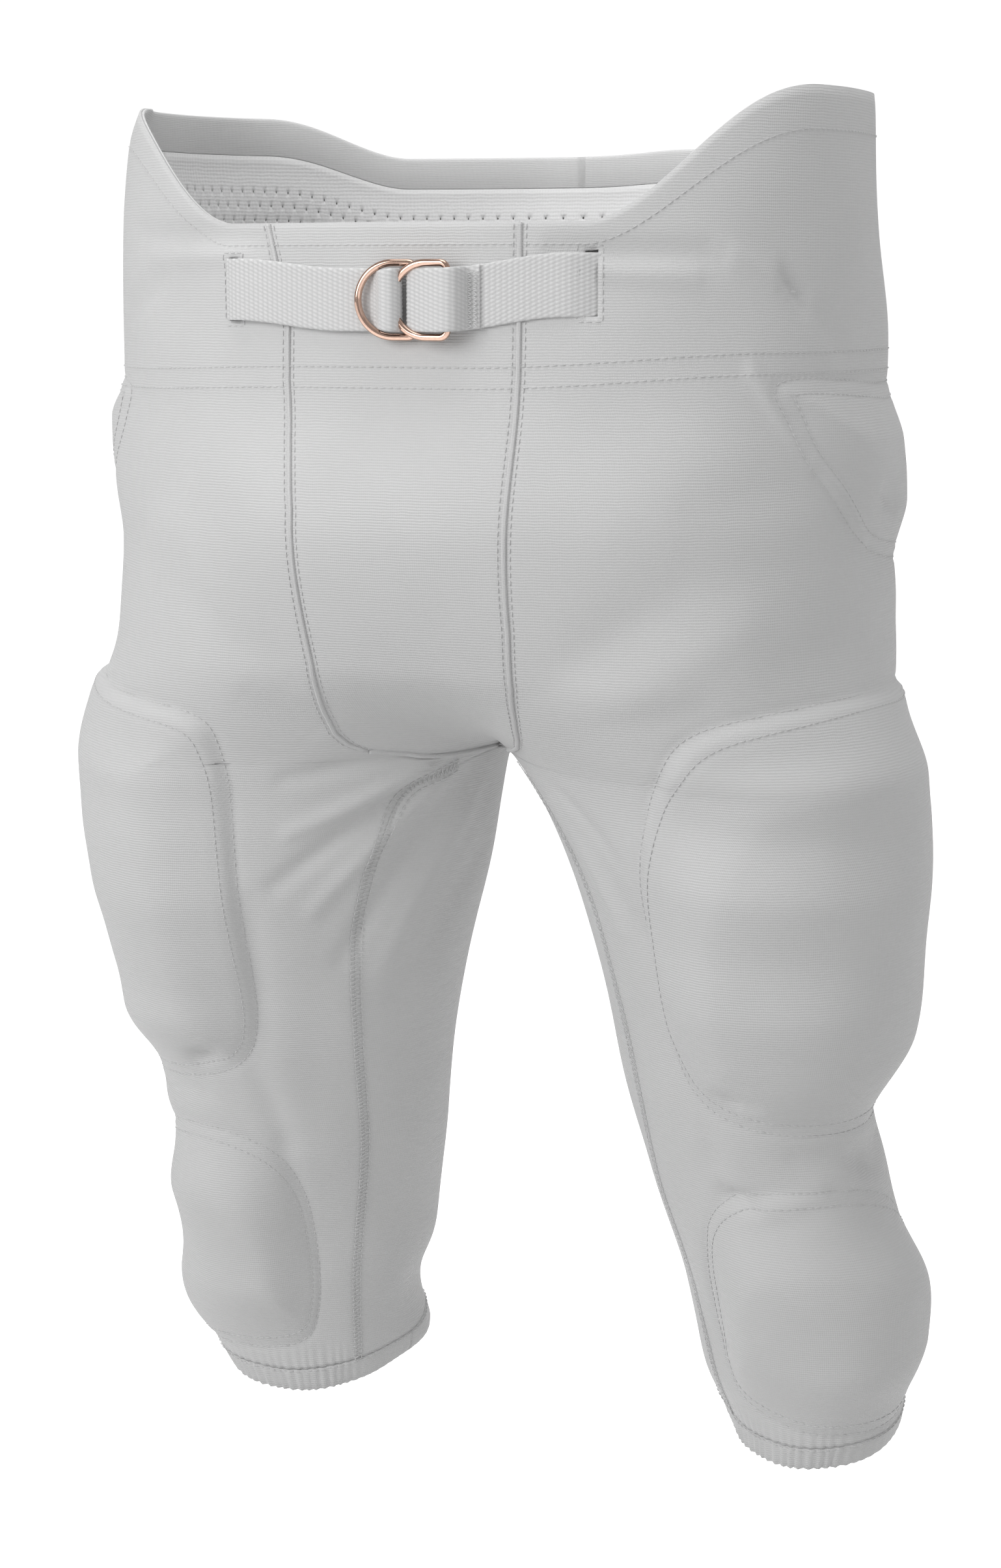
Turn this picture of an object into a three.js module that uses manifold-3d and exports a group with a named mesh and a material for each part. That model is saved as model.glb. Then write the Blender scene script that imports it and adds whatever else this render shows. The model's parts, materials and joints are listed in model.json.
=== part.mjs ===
// Knee-length padded football pants in stretch knit, in the shape they take on a wearer.
// Millimetres, +Z up, +X the wearer's left, -Y the front. The origin is the middle of the
// waist, level with the top edge at the front. Every layer of fabric, padding and lining is
// the wall between two closed volumes, which follow one body surface at different depths.
import * as THREE from "three";
import { mergeVertices } from "three/addons/utils/BufferGeometryUtils.js";
import Module from "manifold-3d";

const wasm = await Module();
wasm.setup();

// ---------------------------------------------------------------- driving dimensions
const RISE = 234;                 // top edge at the front down to the crotch
const INSEAM = 337;               // crotch down to the hem at the front
const WAIST_HALF_WIDTH = 168;
const WAIST_HALF_DEPTH = 112;
const RIM_RISE_SIDE = 55;         // the top edge climbs from the front to each side
const RIM_RISE_BACK = 31;
const RIM_FLAT = { front: 78, back: 104 };   // half of the top edge's level stretches
const HEM_RISE_BACK = 26;         // the hem climbs from shin to calf
const HEM_HEIGHT = 13;

const FABRIC = 1.2;               // shell knit
const LINING = 0.9;               // mesh lining and facings
const GAP = 0.3;                  // clearance between pieces that touch
const THIGH_PAD = 12;             // pad thicknesses
const KNEE_PAD = 10;
const HIP_PAD = 8;
const TAIL_PAD = 9;

const GUSSET_HALF_WIDTH = 50;     // front centre panel, at the belt
const GUSSET_LENGTH = 226;        // top edge down to its lower seam
const TUNNEL_DEPTH = 62;          // top edge at the front down to the belt tunnel's stitching
const EDGE_STRIP = 9;             // elastic strip inside the top edge

const WEBBING_WIDTH = 25.4;
const WEBBING = 1.6;
const BELT_Z = -31;               // middle of the belt
const SLOT_RIGHT_X = -76;         // where the belt leaves the shell, on the wearer's right
const SLOT_LEFT_X = 81;
const SLOT_WIDTH = 9;
const SLOT_MARGIN = 1.2;          // the slot is higher than the webbing by this at each end
const RING_WIRE = 3;
const RING_DEPTH = 27;            // bar to bow, over the wire
const RING_SIDE_PLAY = 0.6;       // between the webbing's edges and the ring's arms
const RING_BAR_X = 11;            // bar of the strap-side ring
const RING_STEP = 15;             // the loop-side ring's bar is this much further to the left
const RING_TILT = 8;              // the strap-side ring's bow stands off the body by this angle
const STRAP_RING_SWING = 18;      // degrees, until its arms meet the loop-side ring
const LOOP_RING_SWING = 3;        // degrees, inside the strap's fold
const LOOP_END_X = 37;            // end of the webbing loop that holds the rings

const KNIT = { color: 0xcfcfcf, roughness: 0.8, metalness: 0 };
const MESH_LINING = { color: 0xc6c6c6, roughness: 0.9, metalness: 0 };
const FOAM = { color: 0xe4e2da, roughness: 0.95, metalness: 0 };
const TAPE = { color: 0xd6d6d6, roughness: 0.75, metalness: 0 };
const METAL = { color: 0xb08a78, roughness: 0.15, metalness: 1 };
const THREAD = { color: 0xdadada, roughness: 0.7, metalness: 0 };

// ------------------------------------------------------------------------ body surface
// One half of the body is an oval at each station, measured down from the top edge.
// across and deep are its half sizes along a long axis, which points front-outward by turn.
const hip = (share) => -RISE * share;
const leg = (share) => -RISE - INSEAM * share;
const STATION_KEYS = ["z", "x", "y", "across", "deep", "turn", "blend", "power"];
const STATIONS = [
  [80, 0, 2, WAIST_HALF_WIDTH - 5, WAIST_HALF_DEPTH - 4, 0, 1, 2.3],
  [0, 0, 2, WAIST_HALF_WIDTH, WAIST_HALF_DEPTH, 0, 1, 2.3],
  [hip(0.3), 5, 4, WAIST_HALF_WIDTH - 3, WAIST_HALF_DEPTH + 1, 0, 10, 2.3],
  [hip(0.555), 30, 8, 142, 116, 4, 55, 2.25],
  [hip(0.79), 65, 13, 115, 110, 14, 60, 2.15],
  [leg(0), 99, 16, 93, 87, 30, 14, 2.05],
  [leg(0.2), 111, 20, 83, 72, 45, 10, 2],
  [leg(0.4), 115, 32, 73, 61, 45, 10, 2],
  [leg(0.57), 120, 49, 65, 55, 45, 10, 2],
  [leg(0.76), 128, 69, 62, 51, 45, 10, 2],
  [leg(0.92), 129, 78, 54, 46, 45, 10, 2],
  [leg(1.04), 127, 81, 42, 39, 45, 10, 2],
].map((row) => Object.fromEntries(row.map((value, i) => [STATION_KEYS[i], value]))).reverse();

// Monotone cubic through the stations' values of one kind.
function along(z, key) {
  const s = STATIONS;
  let i = 0;
  while (i < s.length - 2 && z > s[i + 1].z) i += 1;
  const slope = (k) => (s[k + 1][key] - s[k][key]) / (s[k + 1].z - s[k].z);
  const tangent = (k) => {
    if (k === 0) return slope(0);
    if (k === s.length - 1) return slope(k - 1);
    const before = slope(k - 1);
    const after = slope(k);
    return before * after > 0 ? (2 * before * after) / (before + after) : 0;
  };
  const h = s[i + 1].z - s[i].z;
  const t = THREE.MathUtils.clamp((z - s[i].z) / h, 0, 1);
  return (1 + 2 * t) * (1 - t) ** 2 * s[i][key] + t * (1 - t) ** 2 * h * tangent(i)
    + t * t * (3 - 2 * t) * s[i + 1][key] + t * t * (t - 1) * h * tangent(i + 1);
}

const stationCache = new Map();
function station(z) {
  const key = Math.round(z * 1e4);
  if (!stationCache.has(key)) {
    const at = {};
    for (const name of STATION_KEYS.slice(1)) at[name] = along(z, name);
    at.cos = Math.cos(THREE.MathUtils.degToRad(at.turn));
    at.sin = Math.sin(THREE.MathUtils.degToRad(at.turn));
    stationCache.set(key, at);
  }
  return stationCache.get(key);
}

// Below zero inside the body: two mirrored ovals, joined with a soft fillet of size blend.
function field(x, y, z) {
  const s = station(z);
  const oval = (side) => {
    const dx = side - s.x;
    const dy = y - s.y;
    const u = Math.abs((dx * s.cos - dy * s.sin) / s.across);
    const v = Math.abs((dx * s.sin + dy * s.cos) / s.deep);
    return ((u ** s.power + v ** s.power) ** (1 / s.power) - 1) * s.deep;
  };
  const a = oval(x);
  const b = oval(-x);
  const overlap = Math.max(s.blend - Math.abs(a - b), 0) / s.blend;
  return Math.min(a, b) - overlap * overlap * s.blend / 4;
}

function normal(x, y, z) {
  const e = 0.05;
  return new THREE.Vector3(
    field(x + e, y, z) - field(x - e, y, z),
    field(x, y + e, z) - field(x, y - e, z),
    field(x, y, z + e) - field(x, y, z - e),
  ).normalize();
}

// Each half is measured in angles about its own axis: 0 is outward, 90 the front, -90 the back.
const AXIS_MIN_X = 70;
const axisX = (z) => Math.max(station(z).x, AXIS_MIN_X);
const axisY = (z) => station(z).y;

// Distance along a ray in a level plane from a point in the body to the surface, up to a limit.
const FAR = 330;
const HALVINGS = 34;
function rayLength(x, y, z, dx, dy, limit = FAR) {
  let low = 0;
  let high = limit;
  for (let i = 0; i < HALVINGS; i += 1) {
    const middle = (low + high) / 2;
    if (field(x + dx * middle, y + dy * middle, z) < 0) low = middle;
    else high = middle;
  }
  return low;
}

// Distance from the axis to the surface at an angle, no further than the middle plane.
function reach(angle, z) {
  const dx = Math.cos(angle);
  const limit = dx < 0 ? Math.min(FAR, -axisX(z) / dx) : FAR;
  return rayLength(axisX(z), axisY(z), z, dx, -Math.sin(angle), limit);
}

// Where the surface meets the middle plane, at the front (side -1) or the back (side 1).
const centreLine = (z, side) => axisY(z) + side * rayLength(0, axisY(z), z, 0, side);

// ------------------------------------------------------------------------ pads' places
// from and to are angles about the leg's axis, in degrees.
const POCKET_BORDER = 5;          // a pocket is wider than its pad by this all round
const hemTop = leg(1) + HEM_HEIGHT + HEM_RISE_BACK / 2;
const PADS = {
  hip: {
    from: -48, to: 46, toLow: 14, top: -TUNNEL_DEPTH - 6, bottom: -RISE * 0.6,
    corner: 20, thick: HIP_PAD,
  },
  thigh: {
    from: 2, to: 92, toLow: 102, top: -RISE + 30, bottom: -RISE - INSEAM * 0.47,
    corner: 40, thick: THIGH_PAD,
  },
  knee: {
    from: 12, to: 128, toLow: 128, top: -RISE - INSEAM * 0.65, bottom: hemTop + POCKET_BORDER + 3,
    corner: 24, thick: KNEE_PAD,
  },
};
const BELLY = 8;                  // a pad's front edge bows out by this angle at half its height
const edgeAngle = (pad, z) => {
  const t = THREE.MathUtils.clamp((pad.top - z) / (pad.top - pad.bottom), 0, 1);
  return pad.to + (pad.toLow - pad.to) * t + BELLY * 4 * t * (1 - t);
};
const TAIL = { halfWidth: 42, top: -TUNNEL_DEPTH - 4, bottom: -TUNNEL_DEPTH - 104, thick: TAIL_PAD };
const EASE = 16;                  // the shell slopes down from a pad's edge over this distance
const rad = THREE.MathUtils.degToRad;

// How far the shell stands off the body over the pads.
function bulge(angle, x, z) {
  let height = 0;
  const edge = (inside) => THREE.MathUtils.smoothstep(inside, -EASE, 2);
  for (const pad of Object.values(PADS)) {
    const middle = rad((pad.from + edgeAngle(pad, z)) / 2);
    const half = rad((edgeAngle(pad, z) - pad.from) / 2);
    const turn = Math.abs(Math.atan2(Math.sin(angle - middle), Math.cos(angle - middle)));
    const aside = (half - turn) * station(z).deep;
    height = Math.max(height, pad.thick * edge(aside) * edge(Math.min(pad.top - z, z - pad.bottom)));
  }
  if (angle < 0) {
    const aside = TAIL.halfWidth - x;
    height = Math.max(height, TAIL.thick * edge(aside) * edge(Math.min(TAIL.top - z, z - TAIL.bottom)));
  }
  return height;
}

// ------------------------------------------------------------------------- volumes
const OUTER_COLUMNS = 16;
const INNER_COLUMNS = 3;
const OVERLAP = 0.5;              // the two halves reach past the middle by this
const LEG_INNER = rad(35);        // below the crotch, half the angle that the inner columns span
const HIP_ROWS = [0, 0.13, 0.25, 0.34, 0.5, 0.65, 0.8, 0.9, 0.965];
const LEG_ROWS = [0.08, 0.25, 0.42, 0.56, 0.68, 0.8, 0.91, 1];
const ROWS = [...HIP_ROWS.map(hip), ...LEG_ROWS.map(leg)];

function rimRise(angle, x) {
  const flat = angle < 0 ? RIM_FLAT.back : RIM_FLAT.front;
  const aside = THREE.MathUtils.smoothstep(x, flat, WAIST_HALF_WIDTH - 8);
  const foot = angle < 0 ? RIM_RISE_BACK : 0;
  return foot + (RIM_RISE_SIDE - foot) * aside;
}
const WARP_DEPTH = 58;            // the top edge's climb fades out at this depth

function rowHeight(row, angle, x) {
  if (row > -WARP_DEPTH) return row + rimRise(angle, x) * (1 + row / WARP_DEPTH);
  const low = THREE.MathUtils.smoothstep(-row, RISE + INSEAM * 0.7, RISE + INSEAM);
  return row + low * HEM_RISE_BACK * 0.5 * (1 - Math.sin(angle));
}

// Points, outward normals and angles of one row, from the back seam round the side to the front.
function rowPoints(row) {
  const split = row > -RISE;
  const points = [];
  const front = split ? Math.atan2(axisY(row) - centreLine(row, -1), -axisX(row)) : Math.PI - LEG_INNER;
  const back = split ? Math.atan2(axisY(row) - centreLine(row, 1), -axisX(row)) : LEG_INNER - Math.PI;
  for (let i = 0; i <= OUTER_COLUMNS; i += 1) {
    const angle = back + (front - back) * (i / OUTER_COLUMNS);
    let z = rowHeight(row, angle, axisX(row) + Math.cos(angle) * reach(angle, row));
    if (split && (i === 0 || i === OUTER_COLUMNS)) z = rowHeight(row, angle, 0);
    let x = axisX(z) + Math.cos(angle) * reach(angle, z);
    let y = axisY(z) - Math.sin(angle) * reach(angle, z);
    if (split && (i === 0 || i === OUTER_COLUMNS)) {
      x = 0;
      y = centreLine(z, i === 0 ? 1 : -1);
    }
    const n = normal(x, y, z);
    if (split && x === 0) n.setX(0).normalize();
    points.push({ at: new THREE.Vector3(x, y, z), n, angle, seam: split && x === 0 });
  }
  const crotch = row === ROWS[HIP_ROWS.length - 1];
  for (let i = 1; i < INNER_COLUMNS; i += 1) {
    const t = i / INNER_COLUMNS;
    if (split) {
      points.push({ between: t, down: crotch });
    } else {
      const angle = front + t * 2 * LEG_INNER;
      const z = rowHeight(row, angle, 0);
      const x = axisX(z) + Math.cos(angle) * reach(angle, z);
      const y = axisY(z) - Math.sin(angle) * reach(angle, z);
      points.push({ at: new THREE.Vector3(x, y, z), n: normal(x, y, z), angle });
    }
  }
  return points;
}
const GRID = ROWS.map(rowPoints);

function solid(geometry) {
  for (const name of ["normal", "uv"]) geometry.deleteAttribute(name);
  const merged = mergeVertices(geometry, 1e-4);
  return new wasm.Manifold(new wasm.Mesh({
    numProp: 3,
    vertProperties: new Float32Array(merged.attributes.position.array),
    triVerts: new Uint32Array(merged.index.array),
  }));
}

// A closed solid through rows of equally many points, listed anticlockwise from above, top first.
// Its two ends are fans about a hub, or about each row's first point where hubs is left out.
function loft(rows, hubs = []) {
  const count = rows[0].length;
  const positions = [...rows.flat(), ...hubs].flatMap((p) => [p.x, p.y, p.z]);
  const index = [];
  for (let j = 0; j + 1 < rows.length; j += 1) {
    for (let i = 0; i < count; i += 1) {
      const a = j * count + i;
      const b = j * count + ((i + 1) % count);
      index.push(a, a + count, b + count, a, b + count, b);
    }
  }
  const fan = (start, hub, flip) => {
    for (let i = hub === start ? 1 : 0; i < (hub === start ? count - 1 : count); i += 1) {
      const a = start + i;
      const b = start + ((i + 1) % count);
      if (flip) index.push(hub, b, a);
      else index.push(hub, a, b);
    }
  };
  const last = (rows.length - 1) * count;
  fan(0, hubs.length ? last + count : 0, false);
  fan(last, hubs.length ? last + count + 1 : last, true);
  const geometry = new THREE.BufferGeometry();
  geometry.setAttribute("position", new THREE.Float32BufferAttribute(positions, 3));
  geometry.setIndex(index);
  return solid(geometry);
}

function mirrored(shape) {
  return shape.mirror([1, 0, 0]);
}

// The whole garment's volume, its surface moved out by depth(angle, x, z). longer runs it past
// the top edge and the hems, so that taking it away opens them.
function volume(depth, longer = 0) {
  const rows = GRID.map((row) => {
    const placed = row.map((p) => {
      if (!p.at) return null;
      const point = p.at.clone().addScaledVector(p.n, depth(p.angle, p.at.x, p.at.z));
      if (p.seam) point.x = -OVERLAP;
      return point;
    });
    const front = placed[OUTER_COLUMNS];
    const back = placed[0];
    return placed.map((point, i) => {
      if (point) return point;
      const { between, down } = row[i];
      const filled = front.clone().lerp(back, between);
      if (down) filled.z -= depth(Math.PI, 0, filled.z);
      return filled;
    });
  });
  if (longer) {
    rows.unshift(rows[0].map((p) => p.clone().setZ(p.z + longer)));
    rows.push(rows[rows.length - 1].map((p) => p.clone().setZ(p.z - longer)));
  }
  const hub = (row) => new THREE.Vector3(axisX(row[0].z), axisY(row[0].z), row[OUTER_COLUMNS >> 1].z);
  const hubs = [hub(rows[0]), hub(rows[rows.length - 1])];
  const half = loft(rows.map((row) => row.reverse()), hubs);
  return half.add(mirrored(half));
}

const PAST = 12;                  // how far cutting volumes run past the edges
const outside = (below) => volume((angle, x, z) => bulge(angle, x, z) - below);
const skin = (below, longer) => volume(() => -below, longer);

// --------------------------------------------------------------------------- regions
// A wedge about one leg's axis: levels of { z, from, to } in degrees, top first.
const ARC_STEPS = 5;
function wedge(levels) {
  return loft(levels.map(({ z, from, to }) => {
    const row = [new THREE.Vector3(axisX(z), axisY(z), z)];
    for (let i = 0; i <= ARC_STEPS; i += 1) {
      const angle = rad(from + (to - from) * (i / ARC_STEPS));
      row.push(new THREE.Vector3(axisX(z) + Math.cos(angle) * FAR, axisY(z) - Math.sin(angle) * FAR, z));
    }
    return [row[0], ...row.slice(1).reverse()];
  }));
}

// An outline in X and Z, run through from y = near to y = far.
function frontPrism(outline, near, far) {
  const shape = new THREE.Shape(outline.map(([x, z]) => new THREE.Vector2(x, z)));
  const geometry = new THREE.ExtrudeGeometry(shape, { depth: far - near, bevelEnabled: false });
  geometry.rotateX(Math.PI / 2);
  geometry.translate(0, far, 0);
  return solid(geometry);
}

// A flat slice of space between two heights, or the half of space on one side of the middle.
function block(low, high) {
  const size = high.map((v, i) => v - low[i]);
  const geometry = new THREE.BoxGeometry(...size);
  geometry.translate(...low.map((v, i) => v + size[i] / 2));
  return solid(geometry);
}
const TALL = [-RISE - INSEAM - 60, RIM_RISE_SIDE + 60];
const leftHalf = (margin) => block([margin, -FAR, TALL[0]], [FAR, FAR, TALL[1]]);

const MM_PER_DEGREE = 1.35;         // round the leg, at the pads' radius
const CORNER_CUT = 7;               // degrees cut off the corners of a pad's outline
function padRegion(pad, grow) {
  const lean = CORNER_CUT;
  const g = grow / MM_PER_DEGREE;
  const level = (z, cut) => ({ z, from: pad.from + cut - g, to: edgeAngle(pad, z) - cut + g });
  return wedge([
    level(pad.top + grow, lean), level(pad.top - pad.corner + grow, 0),
    level((pad.top + pad.bottom) / 2, 0),
    level(pad.bottom + pad.corner - grow, 0), level(pad.bottom - grow, lean),
  ]);
}

function tailRegion(grow) {
  const w = TAIL.halfWidth + grow;
  const outline = [[-w, TAIL.top + grow], [w, TAIL.top + grow], [w, TAIL.bottom + 40 - grow],
    [w * 0.45, TAIL.bottom - grow], [-w * 0.45, TAIL.bottom - grow], [-w, TAIL.bottom + 40 - grow]];
  return frontPrism(outline.reverse(), 20, FAR);
}

function gussetRegion(grow) {
  const w = GUSSET_HALF_WIDTH + grow;
  const end = -GUSSET_LENGTH - grow;
  const right = [[w + 6, 30], [w, -30], [w - 3, -RISE * 0.47], [w - 6, end + 40], [w - 10, end + 16],
    [w - 18, end + 4], [w - 26, end]];
  const left = right.map(([x, z]) => [-x, z]).reverse();
  return frontPrism([...right, ...left].reverse(), -FAR, 5);
}

// The front leg panel runs from the outseam, behind the hip, round the front to the inseam.
function frontRegion(grow) {
  const g = grow / MM_PER_DEGREE;
  const seams = [
    [TALL[1], -62, 186], [hip(0.95), -62, 186], [leg(0.03), -62, 175], [leg(0.1), -61, 160],
    [leg(0.25), -60, 146], [leg(0.5), -58, 150], [leg(0.75), -56, 158], [TALL[0], -56, 160],
  ];
  return wedge(seams.map(([z, from, to]) => ({ z, from: from - g, to: to + g })));
}

// A band that follows two rows of the surface, through the wall: one arc round the waist, or a
// whole turn round a leg.
function band(topRow, bottomRow) {
  const split = topRow > -RISE;
  const sections = [topRow, bottomRow].map((row) => {
    const points = rowPoints(row).filter((p) => p.at);
    return [0.7, 1.4].map((scale) => points.map(({ at, seam }) => {
      const axis = new THREE.Vector3(axisX(at.z), axisY(at.z), at.z);
      const moved = at.clone().sub(axis).multiplyScalar(scale).add(axis);
      if (seam) moved.x = -OVERLAP;
      return moved;
    }));
  });
  const [[topIn, topOut], [bottomIn, bottomOut]] = sections;
  const count = topIn.length;
  const corners = topIn.flatMap((p, i) => [p, topOut[i], bottomOut[i], bottomIn[i]]);
  const index = [];
  const quad = (a, b, c, d) => index.push(a, b, c, a, c, d);
  for (let i = 0; i < (split ? count - 1 : count); i += 1) {
    const a = 4 * i;
    const b = 4 * ((i + 1) % count);
    quad(a, b, b + 1, a + 1);
    quad(a + 1, b + 1, b + 2, a + 2);
    quad(b + 2, b + 3, a + 3, a + 2);
    quad(a + 3, b + 3, b, a);
  }
  if (split) {
    const end = 4 * (count - 1);
    quad(0, 1, 2, 3);
    quad(end + 3, end + 2, end + 1, end);
  }
  const geometry = new THREE.BufferGeometry();
  geometry.setAttribute("position", new THREE.Float32BufferAttribute(corners.flatMap((p) => p.toArray()), 3));
  geometry.setIndex(index);
  const half = solid(geometry);
  return half.add(mirrored(half));
}

// ----------------------------------------------------------------------------- belt
// The belt lies in level planes: it is one outline in X and Y, run up the webbing's width.
const beltLow = BELT_Z - WEBBING_WIDTH / 2;
const beltHigh = BELT_Z + WEBBING_WIDTH / 2;
const FACET_SAG = 1.4;            // the walls' flat facets lie up to this inside the smooth body
const LAYER = GAP + WEBBING / 2;  // a strap's middle lies this far off what it rests on
const tunnelOut = -(FABRIC + FACET_SAG + LAYER);
const STRAP_LEAN = 1.5;           // the strap stands upright and in straight steps inside a leaning wall
const facingOut = tunnelOut - LAYER - STRAP_LEAN;

// A point off the body at the belt's height: out along the normal, at an angle round the waist.
function atAngle(degrees, out) {
  const direction = new THREE.Vector2(Math.cos(rad(degrees)), -Math.sin(rad(degrees)));
  const p = direction.multiplyScalar(rayLength(0, 0, BELT_Z, direction.x, direction.y));
  const n = normal(p.x, p.y, BELT_Z);
  return new THREE.Vector2(p.x + n.x * out, p.y + n.y * out);
}

// The same, at a distance x across the front.
function atFront(x, out) {
  let degrees = 90;
  for (let i = 0; i < 20; i += 1) {
    const p = atAngle(degrees, 0);
    degrees -= THREE.MathUtils.radToDeg((x - p.x) / WAIST_HALF_DEPTH);
  }
  return atAngle(degrees, out);
}
const frontAngle = (x) => {
  const p = atFront(x, 0);
  return THREE.MathUtils.radToDeg(Math.atan2(-p.y, p.x));
};

function upright(outline, low, high) {
  const shape = new THREE.Shape(outline);
  const geometry = new THREE.ExtrudeGeometry(shape, { depth: high - low, bevelEnabled: false });
  geometry.translate(0, 0, low);
  return solid(geometry);
}

function strap(path, thickness, low, high) {
  const sides = path.map((p, i) => {
    const before = path[Math.max(i - 1, 0)];
    const after = path[Math.min(i + 1, path.length - 1)];
    const t = after.clone().sub(before).normalize();
    return new THREE.Vector2(-t.y, t.x).multiplyScalar(thickness / 2);
  });
  const outer = path.map((p, i) => p.clone().add(sides[i]));
  const inner = path.map((p, i) => p.clone().sub(sides[i])).reverse();
  return upright([...outer, ...inner], low, high);
}

// Each ring is a closed D: a straight bar up the webbing and a round bow to the wearer's right.
const wire = RING_WIRE / 2;
const ringHalf = WEBBING_WIDTH / 2 + RING_SIDE_PLAY + wire;
const ringReach = RING_DEPTH - RING_WIRE;
const ringSize = { strap: LAYER + WEBBING / 2 + GAP + wire };
ringSize.loop = ringSize.strap + RING_WIRE + 3 * GAP;
const ringBars = {
  strap: { at: atFront(RING_BAR_X, ringSize.strap), tilt: RING_TILT },
  loop: { at: atFront(RING_BAR_X + RING_STEP, ringSize.loop), tilt: 0 },
};

function ring({ at, tilt }, radius, swing = 0) {
  const corner = 3;
  const points = [[0, -ringHalf + corner], [0, 0], [0, ringHalf - corner],
    [-corner * 0.3, ringHalf - corner * 0.3], [-corner, ringHalf]];
  const centre = -(ringReach - ringHalf);
  for (let a = 90; a <= 270; a += 22.5) {
    points.push([centre + Math.cos(rad(a)) * ringHalf, Math.sin(rad(a)) * ringHalf]);
  }
  points.push([-corner, -ringHalf], [-corner * 0.3, -ringHalf + corner * 0.3]);
  const turn = rad(tilt + swing);
  const path = points.map(([u, z]) => new THREE.Vector3(at.x + u * Math.cos(turn), at.y + u * Math.sin(turn),
    BELT_Z + z));
  const curve = new THREE.CatmullRomCurve3(path, true, "centripetal");
  return solid(new THREE.TubeGeometry(curve, 28, radius, 6, true));
}

// The webbing, from its tucked tail: over the strap-side layer, round the loop-side ring's bow,
// back to the right slot, through the tunnel round the back, out of the left slot, and round
// both bars to its sewn end.
const bowX = RING_BAR_X + RING_STEP - ringReach;
const second = LAYER + WEBBING + GAP;
const overBow = ringSize.loop + wire + LAYER + Math.sin(rad(LOOP_RING_SWING)) * ringReach;
const half = SLOT_WIDTH / 2;
const SLOT_RUN = 6;               // the strap lies on the curved shell from this far off its slot
const slotRun = SLOT_RIGHT_X + half + SLOT_RUN;
const beltPath = [
  atFront(SLOT_RIGHT_X - half + 2, 0.4), atFront(SLOT_RIGHT_X + half, second), atFront(slotRun, second),
  ...[-54, -40, -27, -16, -9].map((x) => atFront(x, second)),
  atFront(bowX - 10, second + 0.5), atFront(bowX - 6, second + 3), atFront(bowX - 3, overBow - 1),
  atFront(bowX, overBow), atFront(bowX + 2.2, overBow - 0.9), atFront(bowX + 3, overBow - 3),
  atFront(bowX + 3, LAYER + 4), atFront(bowX + 2, LAYER + 2.4), atFront(bowX - 1, LAYER + 1.6),
  atFront(bowX - 6, LAYER + 0.6), ...[-9, -20, -32, -45, -56].map((x) => atFront(x, LAYER)),
  atFront(slotRun, LAYER), atFront(SLOT_RIGHT_X + half - 0.5, LAYER),
  atFront(SLOT_RIGHT_X - half + 0.5, tunnelOut),
];
const tunnelFrom = frontAngle(SLOT_RIGHT_X - half - 6);
const tunnelTo = 360 + frontAngle(SLOT_LEFT_X + half + 6);
const TUNNEL_STEPS = 48;
for (let i = 0; i <= TUNNEL_STEPS; i += 1) {
  beltPath.push(atAngle(tunnelFrom + (tunnelTo - tunnelFrom) * (i / TUNNEL_STEPS), tunnelOut));
}
const barX = RING_BAR_X;
const foldX = barX - wire - LAYER;
const overBar = ringSize.strap + wire + LAYER;
const overLoopBar = ringSize.loop + wire + LAYER;
beltPath.push(
  atFront(SLOT_LEFT_X + half - 0.5, tunnelOut), atFront(SLOT_LEFT_X - half + 0.5, LAYER),
  ...[74, 62, 50, 38, 26].map((x) => atFront(x, LAYER)),
  atFront(foldX + 2.4, LAYER), atFront(foldX + 0.7, LAYER + 0.8), atFront(foldX, LAYER + 2.2),
  atFront(foldX, overBar - 1.8), atFront(foldX + 0.8, overBar - 0.5), atFront(foldX + 2.6, overBar),
  atFront(barX + RING_STEP - 3, overLoopBar), atFront(barX + RING_STEP + 3, overLoopBar),
  atFront(LOOP_END_X - 4, second), atFront(LOOP_END_X, second),
);

// ---------------------------------------------------------------------------- assembly
const object = new THREE.Group();

function part(name, shape, finish) {
  const mesh = shape.getMesh();
  const geometry = new THREE.BufferGeometry();
  const positions = new Float32Array(mesh.numVert * 3);
  for (let i = 0; i < mesh.numVert; i += 1) {
    for (let k = 0; k < 3; k += 1) positions[3 * i + k] = mesh.vertProperties[i * mesh.numProp + k];
  }
  geometry.setAttribute("position", new THREE.BufferAttribute(positions, 3));
  geometry.setIndex(Array.from(mesh.triVerts));
  geometry.computeVertexNormals();
  const node = new THREE.Mesh(geometry, new THREE.MeshStandardMaterial(finish));
  node.name = name;
  object.add(node);
}

// A part of the left half, and its mirror image.
function pair(name, shape, finish) {
  part(`${name}_left`, shape, finish);
  part(`${name}_right`, mirrored(shape), finish);
}

// Shell: five panels, with a slot each side of the front for the belt.
const shellWall = outside(0).subtract(volume((a, x, z) => bulge(a, x, z) - FABRIC, PAST));
const slots = [SLOT_RIGHT_X, SLOT_LEFT_X].map((x) => block(
  [x - half, -FAR, beltLow - SLOT_MARGIN], [x + half, 0, beltHigh + SLOT_MARGIN]));
const slotted = shellWall.subtract(slots[0]).subtract(slots[1]);
const hemRow = leg(1) + HEM_HEIGHT;
const hemZone = band(hemRow, leg(1) - PAST);
const hemZoneWide = band(hemRow + GAP, leg(1) - PAST);
const body = slotted.subtract(hemZoneWide);
part("front_gusset", body.intersect(gussetRegion(0)), KNIT);
const sides = body.subtract(gussetRegion(GAP));
const frontLeft = frontRegion(0).intersect(leftHalf(GAP / 2));
part("front_panel_left", sides.intersect(frontLeft), KNIT);
part("front_panel_right", sides.intersect(mirrored(frontLeft)), KNIT);
pair("back_panel", sides.subtract(frontRegion(GAP)).intersect(leftHalf(GAP / 2)), KNIT);

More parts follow.
